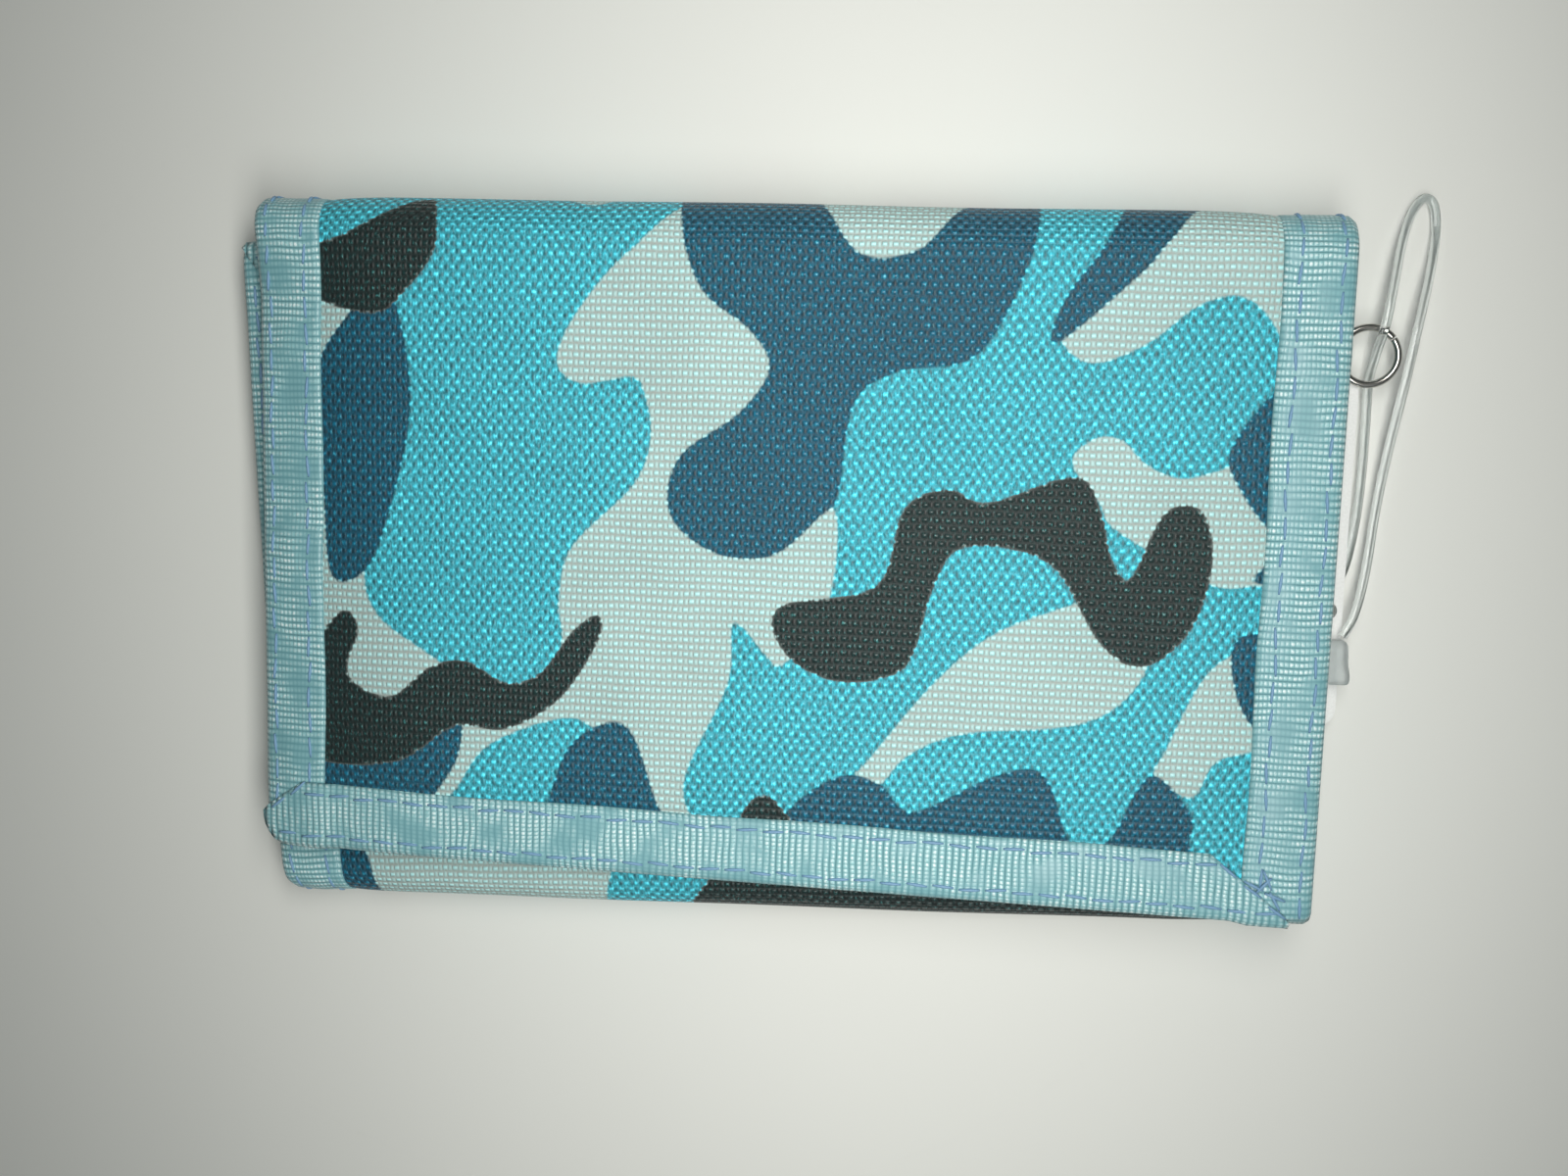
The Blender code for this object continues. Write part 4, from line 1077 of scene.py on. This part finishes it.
def makeEndTape(leaf, endLine, inSide, body):
    # the tape round a free end, lying over the side tapes with its own ends cut aslant
    cuts = endTape[leaf]

    def reach(side, inward):
        near, outermost, straight = cuts[side]
        share = np.clip((wallet["tape"] - inward) / (wallet["tape"] - straight), 0, 1)
        radius = tape["corner" if leaf == "flap" and side == "left" else "blunt"]
        fallen = cornerCut(inward, radius) * (1 if side == "left" else -1)
        return near + (outermost - near) * share + fallen

    def lay(a, b):
        inward, height, run = aroundEdge(a)
        left, right = reach("left", inward), reach("right", inward)
        x = left + (right - left) * b
        over = smoothStep(np.abs(x), tape["lapFrom"], tape["lapTo"])
        outside = np.where(height < wallet["round"], 1, -1)
        lift = -tape["lap"] * over * (1 - height / wallet["round"])
        wobble = 0.1 * np.sin(x / 4.7) * np.clip(inward / 8, 0, 1)
        wrap = 0.35 * over * np.clip(1 - inward / 3, 0, 1)   # it goes round the side tape's end too
        s = endLine(x) + inSide * (inward + wobble - wrap)
        return x, s, height + lift + outside * tapeWave(inward, x + 31, False) + drop(x, s)

    def weave(a, b, flat):
        return aroundEdge(a)[2], flat[:, 0]

    piece = gridSheet(f"{leaf}EndBinding", tapeCloth, (tape["profileSteps"], 128), lay,
                      inSide > 0, tape["thickness"], weave)
    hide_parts(f"{leaf}_binding_end")
    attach(piece, body)
    shape = bmesh.new()
    faces = (
        lambda place: outerFace(place) - lapAt(place.x),
        lambda place: innerFace(place) + lapAt(place.x),
    )
    for row, ends in endTape["seams"].items():
        start, stop = [(x, endLine(x) + inSide * tape[row]) for x in ends]
        stitchLine(shape, start, stop, faces)
    if leaf == "flap":
        addThreadEnds(shape, endLine, inSide)
    stitches = foldedPiece(f"{leaf}EndStitches", shape, thread)
    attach(stitches, body)
    return piece


def lapAt(x):
    return tape["lap"] * float(smoothStep(abs(x), tape["lapFrom"], tape["lapTo"]))


def addThreadEnds(shape, endLine, inSide):
    for run in backStitches:
        ends = [(x, endLine(x) + inSide * inward) for x, inward in run]
        stitchLine(shape, *ends, (lambda place: outerFace(place) - lapAt(place.x),))


makeEndTape("flap", flapEnd, -1, "flap")
makeEndTape("inner", innerEnd, 1, "inner")
print("end bindings made")

# inside the wallet

pocket = {
    "thickness": 0.28,
    "hem": 6.0,           # depth of the turned hem along an opening
    "hemStep": 0.22,
    "cardHeight": 46.0,
    "cardStep": 11.0,     # each card pocket behind is this much taller
    "cardFoot": 5.5,      # above the bottom fold
    "slipFoot": 5.5,
    "slipHeight": 48.0,
}


def hemmed(rise, height):
    # how far a pocket stands out at a height up it: slack in the middle, thicker at its hem
    hem = np.clip((rise - height + pocket["hem"]) / 0.5, 0, 1) * pocket["hemStep"]
    return hem + 0.25 * np.sin(np.pi * np.clip(rise / height, 0, 1)) ** 2


def makePocket(name, node, body, left, right, height, rowAt, low):
    def lay(a, b):
        x = left + (right - left) * a
        rise = height * b
        slack = np.sin(np.pi * a) ** 0.5
        return x, rowAt(x, rise), low + pocket["thickness"] + hemmed(rise, height) * (0.4 + 0.6 * slack)

    steps = (round((right - left) / 2), round(height / 0.8))
    downwards = float(rowAt(0.0, 1.0) - rowAt(0.0, 0.0)) < 0
    piece = gridSheet(name, pocketCloth, steps, lay, downwards, pocket["thickness"])
    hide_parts(node)
    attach(piece, body)
    shape = bmesh.new()
    top = low + pocket["thickness"] + pocket["hemStep"] + 0.12
    for rise in (height - pocket["hem"] + 1.0, height - 0.9):
        stitchLine(shape, (left + 1, rowAt(left + 1, rise)), (right - 1, rowAt(right - 1, rise)), (top,))
    x = right - 1.2
    stitchLine(shape, (x, rowAt(x, 0.6)), (x, rowAt(x, height - pocket["hem"])), (low + 0.4,))
    seams = foldedPiece(f"{name}Stitches", shape, thread)
    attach(seams, body)


def makePockets():
    hypot = math.hypot(1, slope)
    for tier in range(3):
        low, high = boxOf(f"card_pocket_{tier + 1}")
        height = pocket["cardHeight"] + (2 - tier) * pocket["cardStep"]
        makePocket(f"cardPocket{tier + 1}", f"card_pocket_{tier + 1}", "back", low.x, high.x, height,
                   lambda x, rise: -halfBack + x * slope + (pocket["cardFoot"] + rise) * hypot, low.z)
    half = wallet["half"] - wallet["tape"] - 0.3
    makePocket("slipPocket", "slip_pocket", "inner", -half, half, pocket["slipHeight"],
               lambda x, rise: innerRow(x, pocket["slipFoot"] + rise), wallet["stack"] - 0.5)


makePockets()

coin = {
    "half": 55.0,
    "foot": 12.0,         # from the bottom fold
    "mouth": 57.0,
    "above": (63.0, 69.7),
    "sewn": 0.9,          # how far the cloth stands out of the inner leaf: sewn edge, middle, by the zip
    "field": 1.4,
    "raised": 2.7,
    "seamIn": 1.4,        # from the cloth's edge to its seam
}


def coinHeight(x, away):
    edge = smoothStep(coin["half"] - np.abs(x), 0.4, 4.5)
    rise = coin["field"] + (coin["raised"] - coin["field"]) * smoothStep(away, 45, 54)
    foot = smoothStep(away, coin["foot"] + 0.4, coin["foot"] + 4)
    top = 1 - smoothStep(away, coin["above"][1] - 4.2, coin["above"][1] - 0.4)
    sag = 0.2 * np.sin(x / 8.3) * np.sin(away / 9.1) * edge * foot
    return -(coin["sewn"] + (rise - coin["sewn"] + sag) * edge * foot * top)


def makeCoinPart(name, node, low, high):
    def lay(a, b):
        x = (a * 2 - 1) * coin["half"]
        away = high + (low - high) * b
        return x, innerRow(x, away), coinHeight(x, away)

    steps = (round(2 * coin["half"] / 0.9), max(6, round((high - low) / 0.9)))
    piece = gridSheet(name, canvasFinish, steps, lay, True, panel["thickness"], camo=True)
    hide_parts(node)
    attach(piece, "inner")


def makeCoinPocket():
    makeCoinPart("coinPocketFront", "coin_pocket_front", coin["foot"], coin["mouth"])
    makeCoinPart("coinPocketTop", "coin_pocket_top_strip", *coin["above"])
    shape = bmesh.new()

    def seam(start, stop):
        ends = [(x, innerRow(x, away)) for x, away in (start, stop)]

        def height(place):
            away = (innerStart + place.x * slope - place.y) / math.hypot(1, slope)
            return float(coinHeight(place.x, away)) - 0.06

        stitchLine(shape, *ends, (height,))

    side = coin["half"] - coin["seamIn"]
    for away in (coin["foot"] + coin["seamIn"], coin["above"][1] - coin["seamIn"]):
        seam((-side, away), (side, away))
    for across in (-side, side):
        seam((across, coin["foot"] + 2), (across, coin["mouth"] - 1))
    for away in (coin["mouth"] - 1.5, coin["above"][0] + 1.5):
        seam((-side, away), (side, away))
    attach(foldedPiece("coinPocketStitches", shape, thread), "inner")


makeCoinPocket()

patch = {
    "half": 48.0,
    "hookEdges": (25.7, 11.7),   # in from the flap's end
    "loopEdges": (31.0, 17.0),   # from the bottom fold
    "hookPitch": 1.6,            # wider than real, so that the hooks show
    "hookHeight": 0.55,
    "hookBase": 0.5,
}


def makePatch(name, node, body, finish, rowAt, low, high, face, outward, thickness):
    # one half of the closure: a tape with soft edges; face is the height of its working side
    def lay(a, b):
        x = (a * 2 - 1) * patch["half"]
        away = low + (high - low) * b
        rim = np.minimum(patch["half"] - np.abs(x), np.minimum(away - low, high - away))
        sink = 0.3 * (1 - smoothStep(rim, 0, 1.2))
        return x, rowAt(x, away), face + (sink if outward else -sink)

    piece = gridSheet(name, finish, (96, 24), lay, outward, thickness)
    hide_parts(node)
    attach(piece, body)
    shape = bmesh.new()
    lift = face + (-0.02 if outward else 0.02)
    x = patch["half"] - 1
    for away in (low + 1, high - 1):
        stitchLine(shape, (-x, rowAt(-x, away)), (x, rowAt(x, away)), (lift,))
    for across in (-x, x):
        stitchLine(shape, (across, rowAt(across, low + 1)), (across, rowAt(across, high - 1)), (lift,))
    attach(foldedPiece(f"{name}Stitches", shape, darkThread), body)


def makeHooks(low, high, face):
    # rows of small nylon hooks, each a bent stem
    shape = bmesh.new()
    columns = round((2 * patch["half"] - 4) / patch["hookPitch"])
    rows = round((high - low - 3.6) / patch["hookPitch"])
    for i in range(columns):
        for j in range(rows):
            x = -patch["half"] + 2.4 + i * patch["hookPitch"] + (j % 2) * 0.4
            s = low + 2.2 + j * patch["hookPitch"]
            lean = Matrix.Rotation(0.5 * (-1) ** i, 4, "X")
            place = Matrix.Translation((x, s, face + patch["hookHeight"] / 2)) @ lean
            bmesh.ops.create_cone(shape, cap_ends=True, segments=5, radius1=0.17, radius2=0.26,
                                  depth=patch["hookHeight"], matrix=place)
    hooks = foldedPiece("hookRows", shape, hookNylon)
    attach(hooks, "flap")


hookLow, hookHigh = (flapEnd(0) - edge for edge in patch["hookEdges"])
makePatch("hookPatch", "hook_patch", "flap", hookNylon, lambda x, away: away + 0 * x, hookLow, hookHigh,
          wallet["stack"] + patch["hookBase"] - 0.4, False, 0.5)
makeHooks(hookLow, hookHigh, wallet["stack"] + patch["hookBase"] - 0.45)
makePatch("loopPatch", "loop_patch", "inner", loopPile, innerRow, *patch["loopEdges"], -2.5, True, 0.8)
print("pockets and closure made")

window = {
    "foot": 5.0,          # from the top fold
    "height": 46.0,
    "half": 48.0,
    "rim": 5.0,
    "sheet": 0.22,
    "sheetAt": 2.55,      # height of its upper face
    "frame": 0.35,
    "frameAt": 3.2,
}


def makeWindow():
    # a clear vinyl sheet under a frame of the same tape, open along its top
    low = flapStart + window["foot"]

    def lay(a, b):
        x = (a * 2 - 1) * (window["half"] - 1.2)
        s = low + 0.8 + (window["height"] - 1.6) * b
        ripple = 0.1 * np.sin(x / 11 + s / 17) + 0.06 * np.sin(x / 5 - s / 8)
        return x, s, window["sheetAt"] + ripple + drop(x, s)

    sheet = gridSheet("idWindow", vinyl, (60, 30), lay, False, window["sheet"])
    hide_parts("id_window")
    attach(sheet, "flap")
    shape = bmesh.new()
    bmesh.ops.create_grid(shape, x_segments=1, y_segments=1, size=0.5)
    bmesh.ops.scale(shape, vec=(2 * window["half"], window["height"], 1), verts=shape.verts)
    corners = shape.verts[:]
    outer = shape.faces[:]
    bmesh.ops.inset_region(shape, faces=outer, thickness=window["rim"], use_boundary=True,
                           use_even_offset=True)
    bmesh.ops.delete(shape, geom=outer, context="FACES")
    bmesh.ops.bevel(shape, geom=corners, offset=1.3, segments=4, profile=0.5, affect="VERTICES",
                    material=-1)
    bmesh.ops.subdivide_edges(shape, edges=[e for e in shape.edges if e.calc_length() > 20], cuts=24,
                              use_grid_fill=True)
    bmesh.ops.translate(shape, vec=(0, low + window["height"] / 2, window["frameAt"]), verts=shape.verts)
    for vert in shape.verts:
        vert.co.z += dropAt(vert.co)
    rim = foldedPiece("idWindowFrame", shape, tapeCloth)
    wall = rim.modifiers.new("thickness", "SOLIDIFY")
    wall.thickness = window["frame"] * mm
    wall.offset = -1
    soft = rim.modifiers.new("soft edge", "BEVEL")
    soft.width = 0.12 * mm
    soft.segments = 2
    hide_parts("id_window_frame")
    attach(rim, "flap")
    shape = bmesh.new()
    x = window["half"] - 1.2
    ends = (low + 1.2, low + window["height"] - 1.2)
    lift = (lambda place: window["frameAt"] + 0.02 + dropAt(place),)
    for s in ends:
        stitchLine(shape, (-x, s), (x, s), lift)
    for across in (-x, x):
        stitchLine(shape, (across, ends[0]), (across, ends[1]), lift)
    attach(foldedPiece("idWindowStitches", shape, thread), "flap")


makeWindow()

zipper = {
    "line": 60.0,         # from the bottom fold
    "half": 53.0,
    "pitch": 1.25,        # between the coil's turns
    "tooth": (0.36, 0.66, 0.42),
    "gap": 0.24,          # from the middle to a tooth's tip
    "height": -1.5,
    "tape": 5.0,          # width of one side's tape
    "tapeFrom": 1.35,     # from the middle to a tape
    "tapeHeight": -1.66,
    "stopOut": 1.3,       # from the last tooth to an end stop's middle
    "stop": (1.8, 2.6, 0.9),
}


def makeZip():
    for side, word in ((-1, "lower"), (1, "upper")):
        def lay(a, b):
            x = (a * 2 - 1) * (zipper["half"] - 2)
            share = 1 - b if side > 0 else b
            away = zipper["line"] + side * (zipper["tapeFrom"] + zipper["tape"] * share)
            ridge = 0.12 * np.exp(-((np.abs(away - zipper["line"]) - 2.2) / 0.4) ** 2)
            return x, innerRow(x, away), zipper["tapeHeight"] - ridge

        def weave(a, b, flat):
            return flat[:, 1], flat[:, 0]

        title = word.capitalize()
        piece = gridSheet(f"zipTape{title}", zipCloth, (100, 12), lay, side > 0, 0.36, weave)
        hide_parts(f"zip_tape_{word}")
        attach(piece, "inner")
        shape = bmesh.new()
        for i in range(int(2 * zipper["half"] / zipper["pitch"])):
            x = -zipper["half"] + 0.6 + (i + (0.5 if side > 0 else 0)) * zipper["pitch"]
            middle = zipper["gap"] + zipper["tooth"][1]
            s = innerRow(x, zipper["line"] + side * middle)
            place = Matrix.Translation((x, s, zipper["height"])) @ Matrix.Diagonal((*zipper["tooth"], 1))
            bmesh.ops.create_uvsphere(shape, u_segments=8, v_segments=5, radius=1, matrix=place)
        teeth = foldedPiece(f"zipTeeth{title}", shape, coil)
        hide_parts(f"zip_teeth_{word}")
        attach(teeth, "inner")
    for side, word in ((-1, "left"), (1, "right")):
        x = side * (zipper["half"] + zipper["stopOut"])
        stop = block((x, innerRow(x, zipper["line"]), zipper["height"]), zipper["stop"], 0.25)
        piece = foldedPiece(f"zipStop{word.capitalize()}", stop, nickel)
        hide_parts(f"zip_stop_{word}")
        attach(piece, "inner")


def block(middle, size, soft, shape=None):
    # a small pressed block with rounded edges
    shape = shape or bmesh.new()
    made = bmesh.ops.create_cube(shape, size=1)["verts"]
    bmesh.ops.scale(shape, vec=size, verts=made)
    edges = list({edge for vert in made for edge in vert.link_edges})
    rounded = bmesh.ops.bevel(shape, geom=edges, offset=soft, segments=3, profile=0.5, affect="EDGES",
                              material=-1)
    found = list({vert for face in rounded["faces"] for vert in face.verts})
    bmesh.ops.translate(shape, vec=middle, verts=found)
    return shape


slider = {
    "length": 6.8,
    "front": 4.9,         # its width at the two ends
    "back": 3.8,
    "plate": 0.5,
    "plateAt": (-2.42, -0.58),
    "neck": 0.36,
    "pivot": 51.0,        # x of the pull's axis
    "bail": 0.95,         # radius, and its wire's below
    "bailWire": 0.24,
}
pull = {
    "length": 16.6,
    "width": 4.3,
    "thickness": 0.5,
    "corner": 1.7,
    "slot": (1.5, 2.3),   # round the bail
    "slotIn": 1.1,
    "hole": (2.5, 2.5),   # in its free end
    "holeIn": 2.6,
    "beyond": 0.25,       # how far it reaches past its axis, with the slack in its slot
    "height": -3.15,
}


def makeSlider():
    # two plates joined by a neck, with rolled sides, and a bail over the top one
    x = slider["pivot"] - 2.5
    s = innerRow(x, zipper["line"])
    shape = bmesh.new()
    for height in slider["plateAt"]:
        block((x, s, height), (slider["length"], slider["front"], slider["plate"]), 0.16, shape)
    for side in (-1, 1):
        across = s + side * (slider["front"] / 2 - 0.22)
        block((x, across, -2.15), (slider["length"] - 1, 0.42, 0.8), 0.15, shape)
    block((x + 2.2, s, -1.5), (1.6, slider["neck"], 1.5), 0.1, shape)
    for vert in shape.verts:
        share = (x + slider["length"] / 2 - vert.co.x) / slider["length"]
        vert.co.y = s + (vert.co.y - s) * (1 - (1 - slider["back"] / slider["front"]) * max(0, share))
    # the bail is spun at the origin, then moved over the upper plate
    ring = bmesh.ops.create_circle(shape, cap_ends=True, segments=10, radius=slider["bailWire"],
                                   matrix=Matrix.Translation((0, -slider["bail"], 0)))["verts"]
    bmesh.ops.spin(shape, geom=ring + list({e for v in ring for e in v.link_edges})
                   + list({f for v in ring for f in v.link_faces}),
                   cent=(0, 0, 0), axis=(1, 0, 0), steps=16, angle=math.pi)
    bail = [v for v in shape.verts if v.co.y < 5 and abs(v.co.x) < 2]
    bmesh.ops.scale(shape, vec=(1, 1.1, 1), verts=bail)
    bmesh.ops.translate(shape, vec=(slider["pivot"], s, -2.6), verts=bail)
    bmesh.ops.recalc_face_normals(shape, faces=shape.faces)
    piece = foldedPiece("zipSlider", shape, nickel)
    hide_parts("zip_slider")
    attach(piece, "zip_slider")


def makePull():
    middle = slider["pivot"] + pull["beyond"] - 8.5
    s = innerRow(slider["pivot"], zipper["line"])
    shape = bmesh.new()
    bmesh.ops.create_grid(shape, x_segments=1, y_segments=1, size=0.5)
    bmesh.ops.scale(shape, vec=(pull["length"], pull["width"], 1), verts=shape.verts)
    bmesh.ops.bevel(shape, geom=list(shape.verts), offset=pull["corner"], segments=8, profile=0.5,
                    affect="VERTICES", material=-1)
    outline = shape.edges[:]
    holes = []
    for x, size in ((pull["length"] / 2 - pull["slotIn"], pull["slot"]),
                    (-pull["length"] / 2 + pull["holeIn"], pull["hole"])):
        ring = bmesh.ops.create_circle(shape, segments=24, radius=0.5)["verts"]
        bmesh.ops.scale(shape, vec=(*size, 1), verts=ring)
        bmesh.ops.translate(shape, vec=(x, 0, 0), verts=ring)
        holes += list({edge for vert in ring for edge in vert.link_edges})
    bmesh.ops.delete(shape, geom=list(shape.faces), context="FACES_ONLY")
    bmesh.ops.triangle_fill(shape, use_beauty=True, edges=outline + holes)
    bmesh.ops.recalc_face_normals(shape, faces=shape.faces)
    turn = Matrix.Rotation(tilt, 4, "Z")
    place = Matrix.Translation((middle, s, pull["height"]))
    bmesh.ops.transform(shape, matrix=place @ turn, verts=shape.verts)
    piece = foldedPiece("zipPull", shape, nickel)
    wall = piece.modifiers.new("thickness", "SOLIDIFY")
    wall.thickness = pull["thickness"] * mm
    wall.offset = 0
    soft = piece.modifiers.new("soft edge", "BEVEL")
    soft.width = 0.13 * mm
    soft.segments = 2
    soft.limit_method = "ANGLE"
    soft.harden_normals = True
    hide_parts("zip_pull")
    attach(piece, "zip_pull")


makeZip()
makeSlider()
makePull()

ringTab = {"width": 2.6, "thickness": 0.22, "radius": 0.8}


def makeRingTab():
    # a strip of the same tape doubled round the key ring
    low, high = boxOf("ring_tab")
    middle = (low + high) / 2
    leg = high.x - ringTab["radius"] - low.x
    length = 2 * leg + math.pi * ringTab["radius"]

    def lay(a, b):
        run = b * length
        turn = np.clip((run - leg) / ringTab["radius"], 0, math.pi)
        x = np.where(run < leg, low.x + run, low.x + leg + ringTab["radius"] * np.sin(turn))
        x = np.where(turn >= math.pi, low.x + length - run, x)
        y = middle.y + (a - 0.5) * ringTab["width"]
        return x, y, middle.z - ringTab["radius"] * np.cos(turn)

    def weave(a, b, flat):
        return a * ringTab["width"], b * length

    piece = gridSheet("ringTab", tapeCloth, (6, 40), lay, True, ringTab["thickness"],
                      weave)
    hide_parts("ring_tab")
    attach(piece, "back")


makeRingTab()
print("window, zip and ring tab made")
